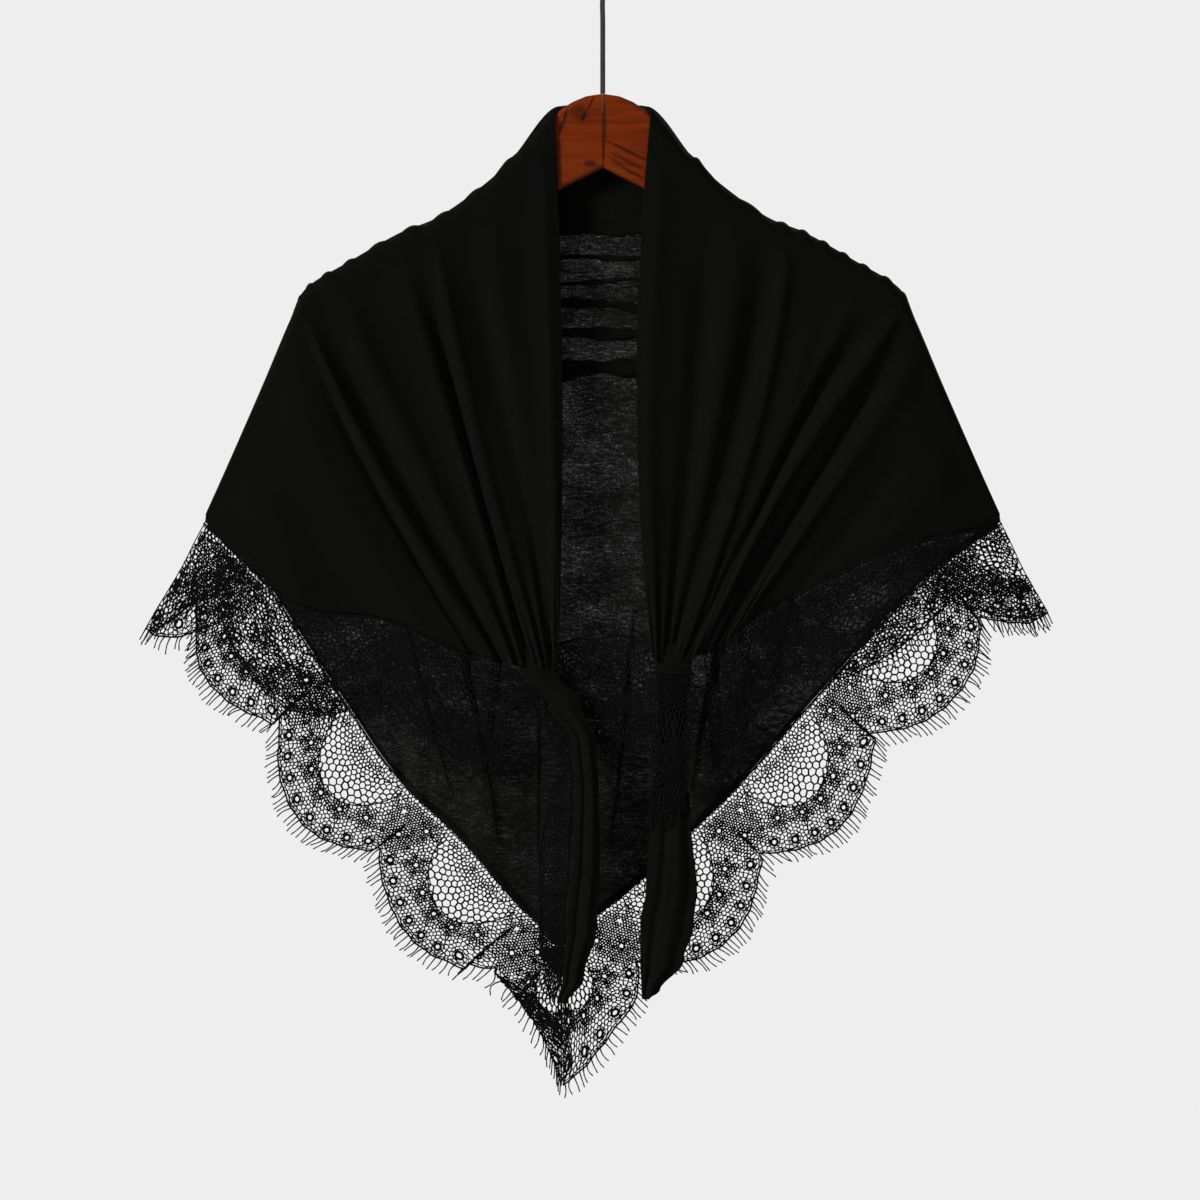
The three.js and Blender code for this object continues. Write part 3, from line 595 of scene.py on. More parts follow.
CREASES_LEFT = [(0.35, 0.1, -1.6), (0.7, 0.12, 1.2)]  # at, width, rise
CREASES_RIGHT = [(0.3, 0.08, -1.8), (0.62, 0.12, 1.3), (0.85, 0.06, -0.9)]
tail_left = tail_cloth("tail_left_jersey", TAIL_LEFT, CREASES_LEFT)
tail_right = tail_cloth("tail_right_jersey", TAIL_RIGHT, CREASES_RIGHT)

# %% [markdown]
# ## Drawing the lace flat
# Lace is easiest to draw flat, as the machine makes it: "along" runs with the edge, "out" from the
# cloth to the scallops. Everything is a list of short threads, each with two ends and a width.
# A machine repeats one drawing, so only one scallop is drawn here, 119 mm long from valley to
# valley, and laid down again and again.

# %% Outline of the scallops
rng = np.random.default_rng(7)
LACE_HEM = 9.0  # close net beside the cloth
EYELET_COUNT, EYELET_INSET = 8, 7.5
FLOWER_COUNT, FLOWER_INSET = 5, 25.0


def scallop(along, first_valley):
    turn = (along - first_valley) / SCALLOP_REPEAT * math.pi
    return mix(SCALLOP_VALLEY, SCALLOP_PEAK, np.abs(np.sin(turn)) ** 0.75)


def inside_edge(count, inset):
    """Places evenly spread along one scallop, a way in from its edge."""
    along = np.linspace(0.5, SCALLOP_REPEAT - 0.5, 400)
    depth = scallop(along, 0)
    walked = np.concatenate([[0], np.cumsum(np.hypot(np.diff(along), np.diff(depth)))])
    stops = np.interp((np.arange(count) + 0.5) / count * walked[-1], walked, np.arange(400)).astype(int)
    slope = np.gradient(depth, along)[stops]
    square = np.stack([-slope, np.ones(count)], axis=1) / np.hypot(slope, 1)[:, None]
    return np.stack([along[stops], depth[stops]], axis=1) - inset * square


def threads_along(points, width):
    """Threads that join a line of flat points."""
    points = np.asarray(points, float)
    return np.concatenate([points[:-1], points[1:], np.full((len(points) - 1, 1), width)], axis=1)


def ring(centre, radius, width, count):
    angle = np.linspace(0, 2 * math.pi, count + 1)
    circle = np.stack([centre[0] + radius * np.cos(angle), centre[1] + radius * np.sin(angle)], axis=1)
    return threads_along(circle, width)


# %% [markdown]
# The net itself is made of uneven six-sided cells. Such cells are what grows around scattered
# points when each point owns all that is nearest to it. So the drawing starts with points: close
# together where the lace is worked solid, and far apart in the open fan. Joining the centres of
# neighbouring triangles between those points gives the threads.

# %% Points of the cells
FAN_ROOT = np.array([SCALLOP_REPEAT / 2, -12.0])
FAN_HALF, FAN_REACH = 40.0, 60.0
FAN_START, FAN_TURN = 17.0, 0.112  # the first ring of cells, and the angle between neighbours
EYELETS = inside_edge(EYELET_COUNT, EYELET_INSET)
EYELETS_ALONG = inside_edge(EYELET_COUNT, 0)[:, 0]
FLOWERS = inside_edge(FLOWER_COUNT, FLOWER_INSET)
VALLEY_FLOWERS = np.array([(0, 30), (SCALLOP_REPEAT, 30), (11, 15), (SCALLOP_REPEAT - 11, 15)], float)


def six_sided(spacing):
    """Points in staggered rows over one repeat, a little uneven."""
    row_gap = spacing * 0.866
    columns, rows = round(SCALLOP_REPEAT / spacing), int((SCALLOP_PEAK + 7) / row_gap)
    pitch = SCALLOP_REPEAT / columns
    i, j = np.meshgrid(np.arange(columns), np.arange(rows))
    points = np.stack([(i + 0.5 * (j % 2) + 0.25) * pitch, (j + 0.5) * row_gap], axis=-1).reshape(-1, 2)
    return points + rng.normal(0, spacing * 0.15, points.shape)


def in_fan(points):
    away = points - FAN_ROOT
    shape = np.hypot(away[:, 0] / FAN_HALF, away[:, 1] / FAN_REACH)
    return (shape < 1) & (points[:, 1] > LACE_HEM)


def near(points, centres, radius, petals=0):
    """Points within a radius of any centre. With petals the outline is a flower's."""
    close = np.zeros(len(points), bool)
    for centre in centres:
        away = points - centre
        outline = radius
        if petals:
            outline = radius * (1 + 0.28 * np.cos(petals * np.arctan2(away[:, 1], away[:, 0])))
        close |= np.hypot(away[:, 0], away[:, 1]) < outline
    return close


def worked_solid(points):
    """Where the lace is worked close: petals, the valleys and a row of leaves by the cloth."""
    from_valley = np.minimum(points[:, 0], SCALLOP_REPEAT - points[:, 0])
    leaves = np.abs(points[:, 1] - LACE_HEM - 2.5 - 3 * np.sin(points[:, 0] / 3.1)) < 1.6
    knot = (from_valley < 17 - 0.32 * np.abs(points[:, 1] - 22)) & (points[:, 1] > 6) & (points[:, 1] < 44)
    flowers = near(points, FLOWERS, 8.2, 5) | near(points, VALLEY_FLOWERS, 8.5, 6)
    return flowers | knot | (leaves & ~in_fan(points))


def fan_points():
    """Staggered rings of points around the root of the fan, as many in each, so cells widen outward."""
    rows, radius = [], FAN_START
    while radius < FAN_REACH:
        angles = (np.arange(-14, 15) + 0.5 * (len(rows) % 2)) * FAN_TURN
        rows.append(FAN_ROOT + radius * np.stack([np.sin(angles), np.cos(angles)], axis=1))
        radius *= 1 + 0.87 * FAN_TURN
    points = np.concatenate(rows)
    return points + rng.normal(0, 0.42, points.shape)


coarse, fine, fan = six_sided(3.1), six_sided(2.1), fan_points()
cell_points = np.concatenate([
    coarse[~worked_solid(coarse) & ~in_fan(coarse)],
    fine[worked_solid(fine) & ~in_fan(fine)],
    fan[in_fan(fan)],
])
print("cells in one scallop:", len(cell_points))


# %% Threads of the cells
def cell_threads(points):
    """Threads between the cells that grow around points, over one repeat that joins its neighbours."""
    shifts = [(-SCALLOP_REPEAT, 0), (0, 0), (SCALLOP_REPEAT, 0)]
    near_repeat = np.concatenate([points + shift for shift in shifts])
    near_repeat = near_repeat[np.abs(near_repeat[:, 0] - SCALLOP_REPEAT / 2) < SCALLOP_REPEAT / 2 + 15]
    found = delaunay_2d_cdt([tuple(point) for point in near_repeat.tolist()], [], [], 0, 1e-5)
    corners, triangles = np.array([tuple(corner) for corner in found[0]]), np.array(found[2])
    a, b, c = (corners[triangles[:, k]] for k in range(3))
    # The centre of each triangle is the point as far from one corner as from the other two.
    ab, ac = b - a, c - a
    double = 2 * (ab[:, 0] * ac[:, 1] - ab[:, 1] * ac[:, 0])
    ab2, ac2 = (ab**2).sum(1), (ac**2).sum(1)
    from_a = np.stack([ac[:, 1] * ab2 - ab[:, 1] * ac2, ab[:, 0] * ac2 - ac[:, 0] * ab2], axis=1)
    centre = a + from_a / double[:, None]
    # A side that two triangles share is where a thread crosses, from centre to centre.
    sides = np.sort(np.concatenate([triangles[:, pair] for pair in ([0, 1], [1, 2], [2, 0])]), axis=1)
    owner = np.tile(np.arange(len(triangles)), 3)
    order = np.lexsort((sides[:, 1], sides[:, 0]))
    sides, owner = sides[order], owner[order]
    paired = np.flatnonzero((sides[:-1] == sides[1:]).all(axis=1))
    ends = np.concatenate([centre[owner[paired]], centre[owner[paired + 1]]], axis=1)
    middle = (ends[:, :2] + ends[:, 2:]) / 2
    length = np.hypot(ends[:, 0] - ends[:, 2], ends[:, 1] - ends[:, 3])
    keep = (middle[:, 0] >= 0) & (middle[:, 0] < SCALLOP_REPEAT) & (length > 0.25) & (length < 12)
    return ends[keep], middle[keep]


ends, middle = cell_threads(cell_points)
width = np.where(in_fan(middle), 1.1, np.where(worked_solid(middle), 1.15, 0.95))
width = width * rng.uniform(0.75, 1.3, len(width))
open_eye = near(middle, EYELETS, 2.5) | near(middle, np.concatenate([FLOWERS, VALLEY_FLOWERS]), 1.95)
net_threads = np.concatenate([ends, width[:, None]], axis=1)[~open_eye]
print("net threads in one scallop:", len(net_threads))

# %% [markdown]
# Thicker cords are laid on the net: rings around the eyelets, petals around the flower centres and
# the outline of the fan. The scalloped edge has two cords of its own and the side sewn to the cloth
# has one. They follow the whole strip and are added with it.

# %% Cords of one scallop
def petal(centre, turn):
    """A loop of cord that stands out from the middle of a flower."""
    angle = np.linspace(0, 2 * math.pi, 9)
    out, aside = 5.0 + 1.9 * np.cos(angle), 1.25 * np.sin(angle)
    x = centre[0] + out * math.cos(turn) - aside * math.sin(turn)
    y = centre[1] + out * math.sin(turn) + aside * math.cos(turn)
    return threads_along(np.stack([x, y], axis=1), 0.75)


cords = [net_threads]
for centre in EYELETS:
    cords += [ring(centre, 2.4, 1.9, 9), ring(centre, 4.3, 0.7, 11)]  # radius, width, threads
for number, centre in enumerate([*FLOWERS, *VALLEY_FLOWERS[1:3]]):
    cords += [ring(centre, 2.1, 1.2, 8)]
    cords += [petal(centre, 0.4 * number + 2 * math.pi * k / 5) for k in range(5)]
fan_turn = np.linspace(-1.25, 1.25, 40)
outline = FAN_ROOT + np.stack([FAN_HALF * np.sin(fan_turn), FAN_REACH * np.cos(fan_turn)], axis=1)
cords.append(threads_along(outline[outline[:, 1] > LACE_HEM - 4], 1.0))
one_scallop = np.concatenate(cords)


# %% [markdown]
# ## A stretch of lace
# A stretch repeats the scallop as often as it is long. Where the strip is deeper or shallower than
# the machine made it, as at a fold or at the point, the drawing is eased outward to fill it.

# %% Lay the scallops in a row
def ring_bulge(along, first_valley):
    """How far the edge swells around each eyelet, from half a millimetre in to half out."""
    place = (along - first_valley) % SCALLOP_REPEAT
    return sum(bump(place - eyelet, 4.6) for eyelet in EYELETS_ALONG) - 0.5


def lace_pattern(length, depth_at, first_valley, cut_ends=True):
    """All threads of a stretch of lace, flat: two ends and a width in each row."""
    first = first_valley - SCALLOP_REPEAT * math.ceil(first_valley / SCALLOP_REPEAT)
    rows = []
    for valley in np.arange(first, length, SCALLOP_REPEAT):
        repeat = one_scallop.copy()
        repeat[:, [0, 2]] += valley
        rows.append(repeat)
    worked = np.concatenate(rows)
    for column_along in (0, 2):
        along = np.clip(worked[:, column_along], 0, length)
        drawn = scallop(along, first_valley)
        ease = step(worked[:, column_along + 1] / drawn, 0.2, 1.0)
        worked[:, column_along + 1] *= 1 + ease * (depth_at(along) / drawn - 1)
    inner = np.minimum(worked[:, 1], worked[:, 3])
    outer = np.maximum(worked[:, 1], worked[:, 3])
    middle = (worked[:, 0] + worked[:, 2]) / 2
    inside = (np.minimum(worked[:, 0], worked[:, 2]) > 0) & (np.maximum(worked[:, 0], worked[:, 2]) < length)
    inside &= (outer < depth_at(middle) - 0.2) & (inner > 0)
    along = np.arange(0, length, 1.6)
    outer_edge = depth_at(along) + ring_bulge(along, first_valley)
    edges = [threads_along(np.stack([along, out], axis=1), cord) for out, cord in (
        (outer_edge - 0.6, 1.3), (outer_edge - 2.5, 0.8), (np.full_like(along, 1.4), 1.5))]
    for end in (0.4, length - 0.4) if cut_ends else ():
        down = np.linspace(0, depth_at(np.array(end)), 30)
        edges.append(threads_along(np.stack([np.full_like(down, end), down], axis=1), 0.8))
    return np.concatenate([worked[inside], *edges])


def fringe_pattern(length, depth_at, first_valley):
    """Loose threads outside the scallops, uneven in length and lean, thinner towards their ends."""
    parts, along, lean = [], 1.0, 0.0
    half = SCALLOP_REPEAT / 2
    while along < length - 1:
        in_valley = bump((along - first_valley + half) % SCALLOP_REPEAT - half, 9)
        reach = rng.uniform(9.0, 12.5) + 3.5 * in_valley
        lean = 0.6 * lean + rng.normal(0, 1.2)
        curl = rng.normal(0, 0.6)
        t = np.linspace(0, 1, 5)
        depth = depth_at(np.array(along))
        u = along + lean * t + curl * np.sin(math.pi * t)
        threads = threads_along(np.stack([u, depth - 0.8 + reach * t], axis=1), 1.05)
        threads[:, 4] *= (1.0, 0.88, 0.76, 0.85)  # a tiny knot ends each thread
        parts.append(threads)
        along += rng.uniform(2.6, 4.2)
    return np.concatenate(parts)


# %% [markdown]
# ## Threads onto the cloth
# A drawn thread becomes a real one by laying its two ends on the lace's own surface and giving it
# three sides. The surface is a function of "along" and "out", and differs from stretch to stretch.

# %% Threads to a mesh
def thread_mesh(name, threads, surface, material):
    """Three-sided threads on a surface. surface(along, out) gives places in metres."""
    a, b = surface(threads[:, 0], threads[:, 1]), surface(threads[:, 2], threads[:, 3])
    direction = b - a
    direction /= np.maximum(np.linalg.norm(direction, axis=1, keepdims=True), 1e-9)
    towards = np.array([0.0, -1.0, 0.0])
    sideways = np.cross(direction, towards)
    sideways /= np.maximum(np.linalg.norm(sideways, axis=1, keepdims=True), 1e-9)
    lift = np.cross(sideways, direction)
    half = threads[:, 4:5] * MM / 2
    a, b = a - direction * half * 0.5, b + direction * half * 0.5
    corners = [sideways * half - lift * half * 0.4, -sideways * half - lift * half * 0.4, lift * half * 0.8]
    points = np.stack([a + c for c in corners] + [b + c for c in corners], axis=1)
    base = np.arange(len(threads))[:, None] * 6
    quads = np.concatenate([base + q for q in ([0, 1, 4, 3], [1, 2, 5, 4], [2, 0, 3, 5])])
    piece = mesh_object(name, points, quads, material)
    print(name, "threads:", len(threads))
    return piece


# %% Lace material
def lace_material():
    material, tree, shader = new_material(
        "lace thread", (0.0025, 0.0025, 0.0026), 0.85, Specular_IOR_Level=0.05)
    twist = stretched_noise(tree, (900, 900, 900), 1.0, 1.0)
    tint = ramp(tree, twist, [(0.3, (0.0016, 0.0016, 0.0017)), (0.7, (0.0035, 0.0035, 0.0036))])
    tree.links.new(tint, shader.inputs["Base Color"])
    bump_from(tree, shader, twist, 0.3, 0.0002)
    return material


lace_black = lace_material()

# %% [markdown]
# ## Where each stretch of lace lies
# On the back the strip follows the short side and turns the point in a fan, so that it is mitred.
# Each stretch is measured along its edge first; a look-up then finds the root on the cloth, the
# lean of the lace there and how far in front or behind its outer edge hangs. Beside the point the
# left stretch is turned back on itself along a slightly bowed line, so it lies double there.

# %% Lace along an edge
TURN_BOW = 7.0  # how far that line bows inward
TURNED_FROM = 386  # where along the left strip it starts


class EdgeStrip:
    """A strip of lace sewn to an edge: roots along it, a lean, a depth and a forward place."""

    def __init__(self, side, first_valley, roots, lean, depth, foot_forward, pleats=(), turned_from=None):
        self.side, self.first_valley = side, first_valley
        self.pleats, self.turned_from, self.cut_ends = pleats, turned_from, True
        self.x, self.drop, self.forward = roots
        gaps = np.hypot(np.diff(self.x), np.diff(self.drop))
        # Where the strip turns a point the root stays still, so the outer edge sets the spacing.
        lean_rad = np.radians(lean)
        outer_x = self.x + side * depth * np.sin(lean_rad)
        outer_drop = self.drop + depth * np.cos(lean_rad)
        outer = np.hypot(np.diff(outer_x), np.diff(outer_drop)) * 0.75
        self.along = np.concatenate([[0], np.cumsum(np.where(gaps < 0.01, outer, gaps))])
        self.lean, self.depth, self.foot = lean_rad, depth, foot_forward
        self.length = self.along[-1]

    def depth_at(self, along):
        return np.interp(along, self.along, self.depth)

    def outer_at(self, along):
        lean, depth = np.interp(along, self.along, self.lean), self.depth_at(along)
        x = np.interp(along, self.along, self.x) + self.side * depth * np.sin(lean)
        return x, np.interp(along, self.along, self.drop) + depth * np.cos(lean)

    def past_turn(self, along, x, drop):
        """How far places lie past the line along which the lace is turned back, or nothing."""
        if self.turned_from is None:
            return np.zeros_like(x)
        start_x, start_drop = self.outer_at(self.turned_from)
        end_x, end_drop = self.outer_at(self.length)
        t = (drop - start_drop) / (end_drop - start_drop)
        line = mix(start_x, end_x, t) + TURN_BOW * np.sin(math.pi * np.clip(t, 0, 1))
        return np.where((along > self.turned_from) & (t > 0), np.maximum(0, line - x), 0)

    def surface(self, along, out):
        x, drop, forward = self.place(along, out)
        past = self.past_turn(along, x, drop)
        return to_space(x + 2 * past, drop, forward - 1.0 * (past > 0))

    def fringe_surface(self, along, out):
        """The fringe starts at the turned edge and stays outside it."""
        x, drop, forward = self.place(along, out)
        root_x, root_drop, _ = self.place(along, self.depth_at(along))
        return to_space(x + self.past_turn(along, root_x, root_drop), drop, forward)

    def place(self, along, out):
        # A pleat doubles the lace back on itself, more and more towards its edge.
        layered = np.zeros_like(along)
        for at, width, amount in self.pleats:
            away = (along - at) / width
            grown = amount * step(out, 6, 45)
            layered += 1.6 * grown * np.exp(-(away**2))
            along = along - grown * 1.9 * width * away * np.exp(-(away**2))
        wobble = 1.1 * np.sin(along / 13.0 + out / 21.0) * step(out, 5, 40)
        along = along + wobble

        def here(values):
            return np.interp(along, self.along, values)

        lean, depth = here(self.lean), here(self.depth)
        x = here(self.x) + self.side * out * np.sin(lean)
        drop = here(self.drop) + out * np.cos(lean)
        share = np.clip(out / depth, 0, 1.15)
        flutter = 0.8 * np.sin(along / 9.0) * share**2
        return x, drop, mix(here(self.forward), here(self.foot), share) + flutter + layered


def back_strip(side, fold_lean, leg_lean, fold_depth, first_valley, pleats, turned_from=None):
    """The strip from the side corner down a short side and half way round the point."""
    share = np.linspace(0, 1, 400)
    across = share / 2 if side < 0 else 1 - share / 2
    x, drop, forward = back_at(across, np.ones_like(across))
    along = np.concatenate([[0], np.cumsum(np.hypot(np.diff(x), np.diff(drop)))])
    fan = np.linspace(0, 1, 60)[1:]
    fan_all = np.concatenate([np.zeros_like(along), fan])

    def hold(values):
        return np.concatenate([values, np.full_like(fan, values[-1])])

    x, drop, forward, along = hold(x), hold(drop), hold(forward), hold(along)
    rippled = step(along, 20, 90) * (1 - fan_all)
    lean = mix(fold_lean, leg_lean, step(along, 0, 90)) * (1 - fan_all)
    depth = mix(fold_depth, scallop(along, first_valley), step(along, 0, 30))
    depth = mix(depth, POINT_REACH, fan_all**1.6)
    foot = forward + 2.2 * np.sin(along / SCALLOP_REPEAT * 2 * math.pi) * rippled
    return EdgeStrip(side, first_valley, (x, drop, forward), lean, depth, foot, pleats, turned_from)


def front_strip(side, fold_lean, hem_lean, fold_depth, first_valley):
    """The strip from the side corner along a front's hem to the gather."""
    share = np.linspace(1, GATHER_SHARE, 300)
    x, drop, forward = front_at(side, share, np.ones_like(share))
    along = np.concatenate([[0], np.cumsum(np.hypot(np.diff(x), np.diff(drop)))])
    lean = mix(fold_lean, hem_lean, step(along, 0, 110))
    depth = mix(fold_depth, scallop(along, first_valley), step(along, 0, 40))
    foot = mix(FOLD_STAND + 0.15, 3.5, step(along, 0, 60))
    return EdgeStrip(side, first_valley, (x, drop, forward), lean, depth, foot)


def lay_lace(name, strip):
    """Lace and fringe of one stretch."""
    print(name, "length:", round(float(strip.length)))
    worked = lace_pattern(strip.length, strip.depth_at, strip.first_valley, strip.cut_ends)
    loose = fringe_pattern(strip.length, strip.depth_at, strip.first_valley)
    return (thread_mesh(f"lace_{name}_threads", worked, strip.surface, lace_black),
            thread_mesh(f"fringe_{name}_threads", loose, strip.fringe_surface, lace_black))


PLEATS_LEFT = [(143, 4.5, 0.9), (262, 3.5, 0.5), (370, 5.0, 0.8)]  # along, width, amount
PLEATS_RIGHT = [(57, 3.5, 0.5), (176, 4.5, 0.9), (294, 3.5, 0.5)]
SEWN = {  # side, lean at the fold and beyond it, depth at the fold, first valley
    "back_left": back_strip(-1, 29, 50, 89, 27, PLEATS_LEFT, TURNED_FROM),
    "back_right": back_strip(1, 27.5, 44, 74, 54, PLEATS_RIGHT),
    "front_left": front_strip(-1, 29, 5, 89, 40),
    "front_right": front_strip(1, 27.5, 5, 74, 50),
}
laces = {name: lay_lace(name, strip) for name, strip in SEWN.items()}

# %% [markdown]
# The short lace ends around the tails are no longer sewn to a free edge. Each is a small curtain
# between two lines, so its surface is a blend of them, and the same drawn pattern is laid on it.

# %% Lace around the tails
class Curtain:
    """Lace between a top line and a bottom line, both functions of a share along it."""

    def __init__(self, length, first_valley, place, depth):
        self.length, self.first_valley, self.cut_ends = length, first_valley, False
        self.place, self.depth = place, depth

    def depth_at(self, along):
        return self.depth(np.clip(along / self.length, 0, 1))

    def surface(self, along, out):
        share = np.clip(along / self.length, 0, 1)
        return to_space(*self.place(share, out))

    fringe_surface = surface


def left_tail_line(share):
    """Drop, and the tail's own edge, where the lace beside the left tail is sewn on."""
    drop = mix(TAIL_LEFT[0, 0], TAIL_LEFT[-1, 0], share)
    return drop, column(TAIL_LEFT, 1, drop) - 0.7


def beside_left_tail(share, out):
    drop, inner = left_tail_line(share)
    return inner - out, drop, column(TAIL_LEFT, 3, drop) + 0.12 * np.minimum(10, out)


def left_tail_depth(share):
    drop, inner = left_tail_line(share)
    return np.maximum(4, inner - column(TAIL_LACE_LEFT, 1, drop))


RIGHT_TAIL_TOP = 417


def right_tail_depth(share):
    return mix(519, 501, share) + 9 * np.sin(math.pi * share) - RIGHT_TAIL_TOP


def over_right_tail(share, out):
    down = out / right_tail_depth(share)
    x = mix(mix(37, 66, share), mix(33, 62, share), down)
    return x, RIGHT_TAIL_TOP + out, 15.6 + 1.6 * np.sin(math.pi * share) + 1.6 * np.minimum(1, down)


def crossing_depth(share):
    return 76 - 20 * (share * 2 - 1) ** 2


def crossing(share, out):
    offset = share * 2 - 1
    wavy = 2.4 * np.sin(7 * share + 1) + 1.3 * np.sin(19 * share)
    top = 393 + wavy * (1 - out / crossing_depth(share))
    return 4 + 46 * offset, top + out, mix(5, 10.9, step(np.abs(offset), 0.3, 1))


LOOSE = {  # length, first valley, place, depth
    "tail_left": Curtain(240, 68, beside_left_tail, left_tail_depth),
    "tail_right": Curtain(42, -38.5, over_right_tail, right_tail_depth),
    "crossing": Curtain(92, -12, crossing, crossing_depth),
}
laces |= {name: lay_lace(name, strip) for name, strip in LOOSE.items()}

# %% [markdown]
# ## Hanger
# The two wooden arms and the wire hook keep their own solids, because their shapes are already
# right. They only need a finish: orange-brown varnished wood with long streaks and a few knots,
# and dark steel wire.

# %% Wood and wire
SPOT_EDGE = (1.1, 1.8)  # where a mark starts to fade, and where it is gone


def spot(tree, x, drop, half_width, half_height, turn):
    """A soft oval mark on the front face of the wood: 1 inside, 0 outside."""
    place = add_node(tree, "ShaderNodeTexCoord")
    ragged = add_node(tree, "ShaderNodeTexNoise", Scale=260.0, Detail=2.0)
    tree.links.new(place.outputs["Object"], ragged.inputs["Vector"])
    moved = add_node(tree, "ShaderNodeMapping", vector_type="TEXTURE")
    moved.inputs["Location"].default_value = (x * MM, 0, (-HOOK_DROP - drop) * MM)
    moved.inputs["Rotation"].default_value = (0, math.radians(turn), 0)
    moved.inputs["Scale"].default_value = (half_width * MM, 10, half_height * MM)
    tree.links.new(place.outputs["Object"], moved.inputs["Vector"])
    away = add_node(tree, "ShaderNodeVectorMath", operation="LENGTH")
    tree.links.new(moved.outputs["Vector"], away.inputs[0])
    uneven = worked_out(tree, "MULTIPLY_ADD", ragged.outputs["Fac"], 0.9, away.outputs["Value"])
    return ranged(tree, uneven, SPOT_EDGE, (1.0, 0.0))


WOOD_MARKS = [  # x, drop, half width, half height, turn, colour, strength
    (-9.4, 50.7, 4.2, 2.4, 0, (0.018, 0.0045, 0.004), 0.8),  # plugged screw hole
    (-16.5, 14.0, 6.0, 5.0, 20, (0.035, 0.006, 0.0005), 0.7),  # knot
    (-14.0, 17.0, 1.2, 3.4, 25, (0.008, 0.002, 0.0005), 0.9),
    (-8.5, 7.0, 0.8, 6.5, 25, (0.018, 0.003, 0.0005), 0.8),
    (-27.0, 16.5, 0.9, 8.0, 12, (0.012, 0.003, 0.0005), 0.85),  # narrow checks
    (-30.5, 25.0, 1.2, 4.2, 10, (0.008, 0.002, 0.0005), 0.85),
    (-31.5, 38.0, 3.5, 3.5, 0, (0.035, 0.006, 0.001), 0.5),
    (0.9, 22.0, 1.6, 16.0, 0, (0.022, 0.004, 0.0005), 0.75),  # shade along the joint
    (0.6, 42.0, 1.0, 11.0, 0, (0.015, 0.003, 0.0005), 0.7),
    (15.0, 40.0, 15.0, 1.0, 25, (0.014, 0.003, 0.0005), 0.75),  # slanting streaks of the right arm
    (20.0, 50.0, 14.0, 1.6, 27, (0.026, 0.005, 0.001), 0.75),
    (10.0, 49.5, 5.0, 1.8, 27, (0.03, 0.006, 0.001), 0.65),
    (24.0, 45.0, 9.0, 1.4, 24, (0.03, 0.005, 0.001), 0.6),
    (22.0, 57.5, 10.0, 1.0, 27, (0.014, 0.003, 0.0005), 0.75),
]


def wood_material():
    """Long streaks of grain, with each mark laid over what is there already."""
    material, tree, shader = new_material(
        "varnished wood", (0.1, 0.013, 0.0005), 0.42, Specular_IOR_Level=0.09,
        Coat_Weight=0.04, Coat_Roughness=0.25)
    grain = stretched_noise(tree, (22, 60, 190), 1.0, 5.0)
    colour = ramp(tree, grain, [
        (0.3, (0.078, 0.0088, 0.0003)), (0.5, (0.108, 0.0132, 0.0004)), (0.7, (0.132, 0.0190, 0.0006))])
    for *place, tint, strength in WOOD_MARKS:
        blend = add_node(tree, "ShaderNodeMix", data_type="RGBA")
        under, over, result = blend.inputs[6], blend.inputs[7], blend.outputs[2]  # its colour sockets
        over.default_value = (*tint, 1)
        tree.links.new(worked_out(tree, "MULTIPLY", spot(tree, *place), strength), blend.inputs["Factor"])
        tree.links.new(colour, under)
        colour = result
    tree.links.new(colour, shader.inputs["Base Color"])
    bump_from(tree, shader, grain, 0.12, 0.0002)
    return material


def wire_material():
    material, tree, shader = new_material(
        "dark wire", (0.03, 0.03, 0.03), 0.3, Metallic=0.6, Specular_IOR_Level=0.3)
    drawn = stretched_noise(tree, (2500, 2500, 60), 1.0, 2.0)
    bump_from(tree, shader, drawn, 0.1, 0.0001)
    tint = ramp(tree, drawn, [(0.3, (0.012, 0.012, 0.013)), (0.7, (0.035, 0.035, 0.037))])
    tree.links.new(tint, shader.inputs["Base Color"])
    return material


wood, wire = wood_material(), wire_material()
for node, material in (("hanger_arm_left", wood), ("hanger_arm_right", wood), ("hook", wire)):
    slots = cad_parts[node].data.materials
    slots.clear()
    slots.append(material)

# %% [markdown]
# The two arms meet in the middle with a fine dark line of glue. It is a plate a quarter of a
# millimetre thick, in the gap between them, a touch smaller than the wood.

# %% Glue line
GLUE_HALF_DEPTH, GLUE_HALF_THICK, GLUE_CORNER = 6.3, 0.13, 4.0
GLUE_TOP, GLUE_FOOT = 0.25, 53.2


def glue_outline():
    """Four rounded corners, as places in depth and height."""
    in_y, low, high = GLUE_HALF_DEPTH - GLUE_CORNER, GLUE_TOP + GLUE_CORNER, GLUE_FOOT - GLUE_CORNER
    corners = [(in_y, low), (-in_y, low), (-in_y, high), (in_y, high)]
    outline = []
    for number, (y, drop) in enumerate(corners):
        for angle in np.radians(np.linspace(90 * number + 3, 90 * number + 87, 5)):
            z = -HOOK_DROP - drop + GLUE_CORNER * math.sin(angle)
            outline.append((y + GLUE_CORNER * math.cos(angle), z))
    return outline


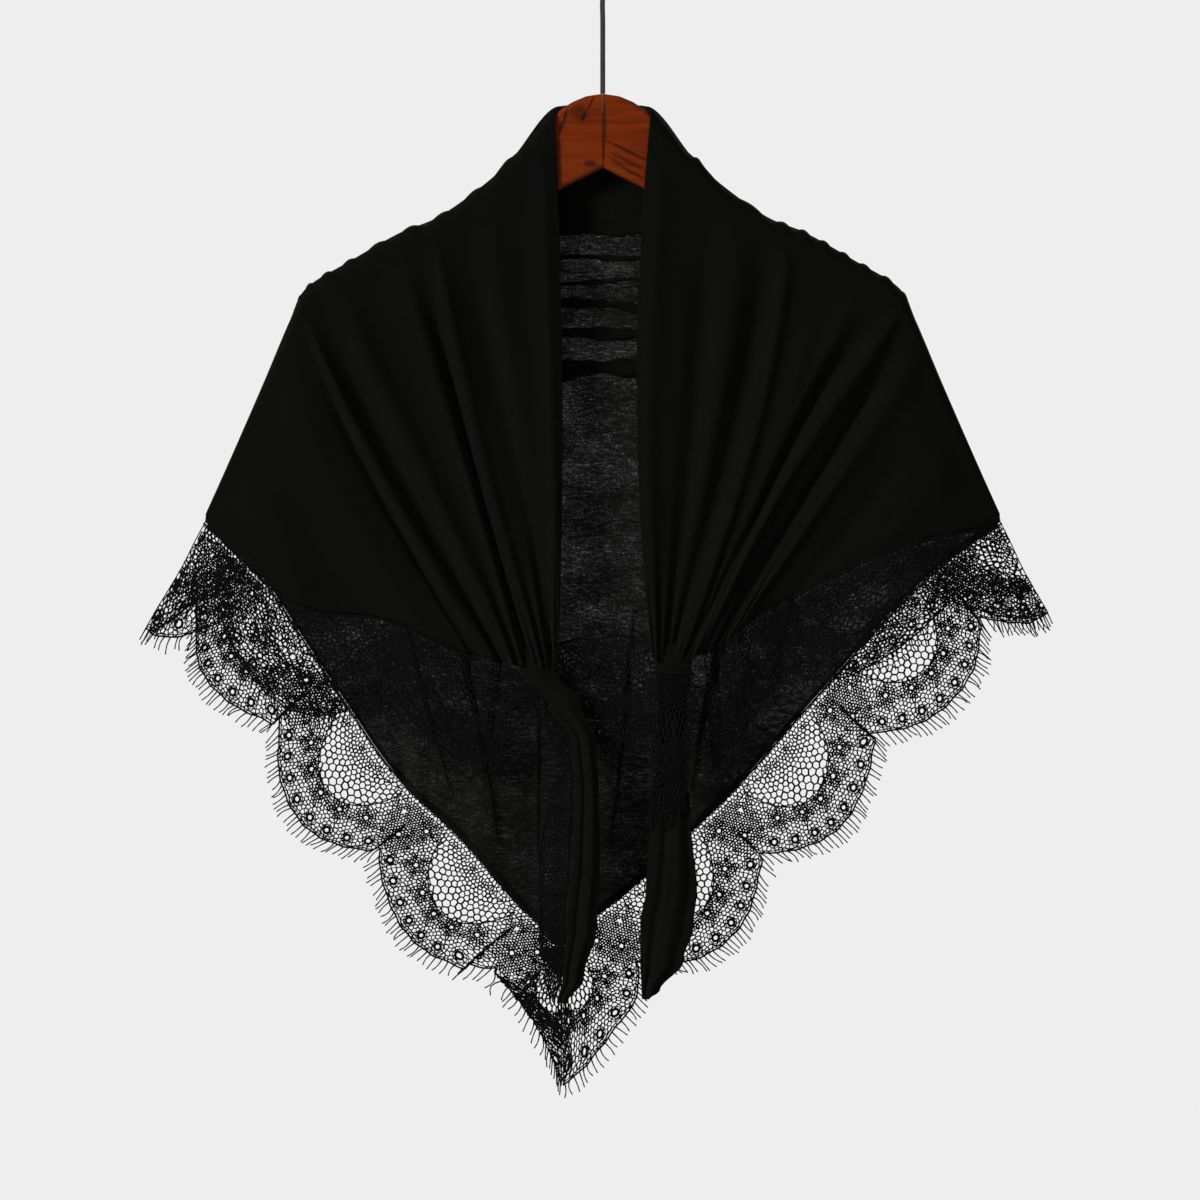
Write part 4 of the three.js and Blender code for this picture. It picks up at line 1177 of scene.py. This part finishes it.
def glue_line():
    outline = glue_outline()
    count = len(outline)
    points = [(x * MM, y * MM, z * MM) for x in (-GLUE_HALF_THICK, GLUE_HALF_THICK) for y, z in outline]
    mesh = bpy.data.meshes.new("glue_line")
    sides = [(k, (k + 1) % count, count + (k + 1) % count, count + k) for k in range(count)]
    mesh.from_pydata(points, [], [tuple(range(count))[::-1], tuple(range(count, 2 * count)), *sides])
    glue, tree, shader = new_material("glue", (0.02, 0.006, 0.002), 0.6)
    mottled = stretched_noise(tree, (300, 300, 300), 1.0, 2.0)
    tint = ramp(tree, mottled, [(0.3, (0.012, 0.004, 0.001)), (0.7, (0.04, 0.01, 0.002))])
    tree.links.new(tint, shader.inputs["Base Color"])
    mesh.materials.append(glue)
    piece = in_scene("glue_line", mesh)
    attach(piece, "root")


glue_line()

# %% [markdown]
# ## What stands for what
# Each thin piece stands in for its plain solid and rides on the hanger, since nothing here moves.

# %% Ride and replace
PIECES = {
    "back_panel": back, "neck_band": band, "front_left": front_left, "front_right": front_right,
    "tail_left": tail_left, "tail_right": tail_right,
}
for node, piece in PIECES.items():
    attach(piece, "root")
    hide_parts(node)
for name, (lace, fringe) in laces.items():
    for piece, kind in ((lace, "lace_"), (fringe, "fringe_")):
        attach(piece, "root")
        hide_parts(kind + name)

for piece in (*hems, *tucks, hems_left, hems_right):
    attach(piece, "root")

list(laces["back_left"])
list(laces["back_right"])
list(laces["front_left"])
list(laces["crossing"])
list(laces["front_right"])
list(laces["tail_left"])
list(laces["tail_right"])

# %% [markdown]
# ## Setting
# A pale floor lies below the scarf, and the same pale tone is all around it. A wall close behind
# would hide the scarf from the back, so the "wall" is the world itself. Its light is turned down for
# all but what is seen directly or through the thin cloth, and large soft lights do the rest.

# %% Floor and world
PALE = 0.855
FLOOR_RADIUS, FLOOR_HEIGHT = 1.9, -1.3


def floor():
    """A round pale floor, small enough to stay below what the camera sees."""
    material = new_material("pale floor", grey(0.84), 0.9, Specular_IOR_Level=0.1)[0]
    radius, turn = lattice(2, 49)
    turn = turn * 2 * math.pi
    away = mix(0.01, FLOOR_RADIUS, radius)
    disc = np.stack([away * np.cos(turn), away * np.sin(turn), np.full_like(turn, FLOOR_HEIGHT)], axis=-1)
    mesh_object("floor", disc, grid_faces(49, 2), material)


def pale_world(light):
    """An even pale tone to look at, which lights the scene by a smaller amount."""
    world = bpy.data.worlds.new("studio")
    world.use_nodes = True
    tree = world.node_tree
    tree.nodes["Background"].inputs["Color"].default_value = (1, 1, 1, 1)
    seen = add_node(tree, "ShaderNodeLightPath").outputs["Is Camera Ray"]
    strength = ranged(tree, seen, (0.0, 1.0), (light, PALE))
    tree.links.new(strength, tree.nodes["Background"].inputs["Strength"])
    bpy.context.scene.world = world


floor()
pale_world(light=0.14)


# %% Lights and camera
def soft_light(name, place, size, power, target=(0, 0, -0.5)):
    """A round soft light, turned towards the scarf."""
    data = bpy.data.lights.new(name, "AREA")
    data.shape, data.size, data.energy = "DISK", size, power
    lamp = in_scene(name, data)
    lamp.location = place
    x, y, z = np.array(target) - np.array(place)
    lamp.rotation_euler = (math.atan2(math.hypot(x, y), -z), 0, math.atan2(-x, y))


soft_light("key", (-2.6, -1.6, 0.9), 0.9, 190)
soft_light("fill", (2.8, -2.6, 0.5), 1.6, 22)
soft_light("light from behind", (2.4, 2.0, 1.0), 1.6, 45)
bpy.context.scene.view_settings.view_transform = "Standard"

DISTANCE, VIEW_WIDTH = 5.0, 0.868
camera_data = bpy.data.cameras.new("camera")
camera_data.sensor_width = 36
camera_data.lens = 36 * DISTANCE / VIEW_WIDTH
camera = in_scene("camera", camera_data)
camera.location = (-0.002, -DISTANCE, -0.494)
camera.rotation_euler = (math.pi / 2, 0, 0)
bpy.context.scene.camera = camera
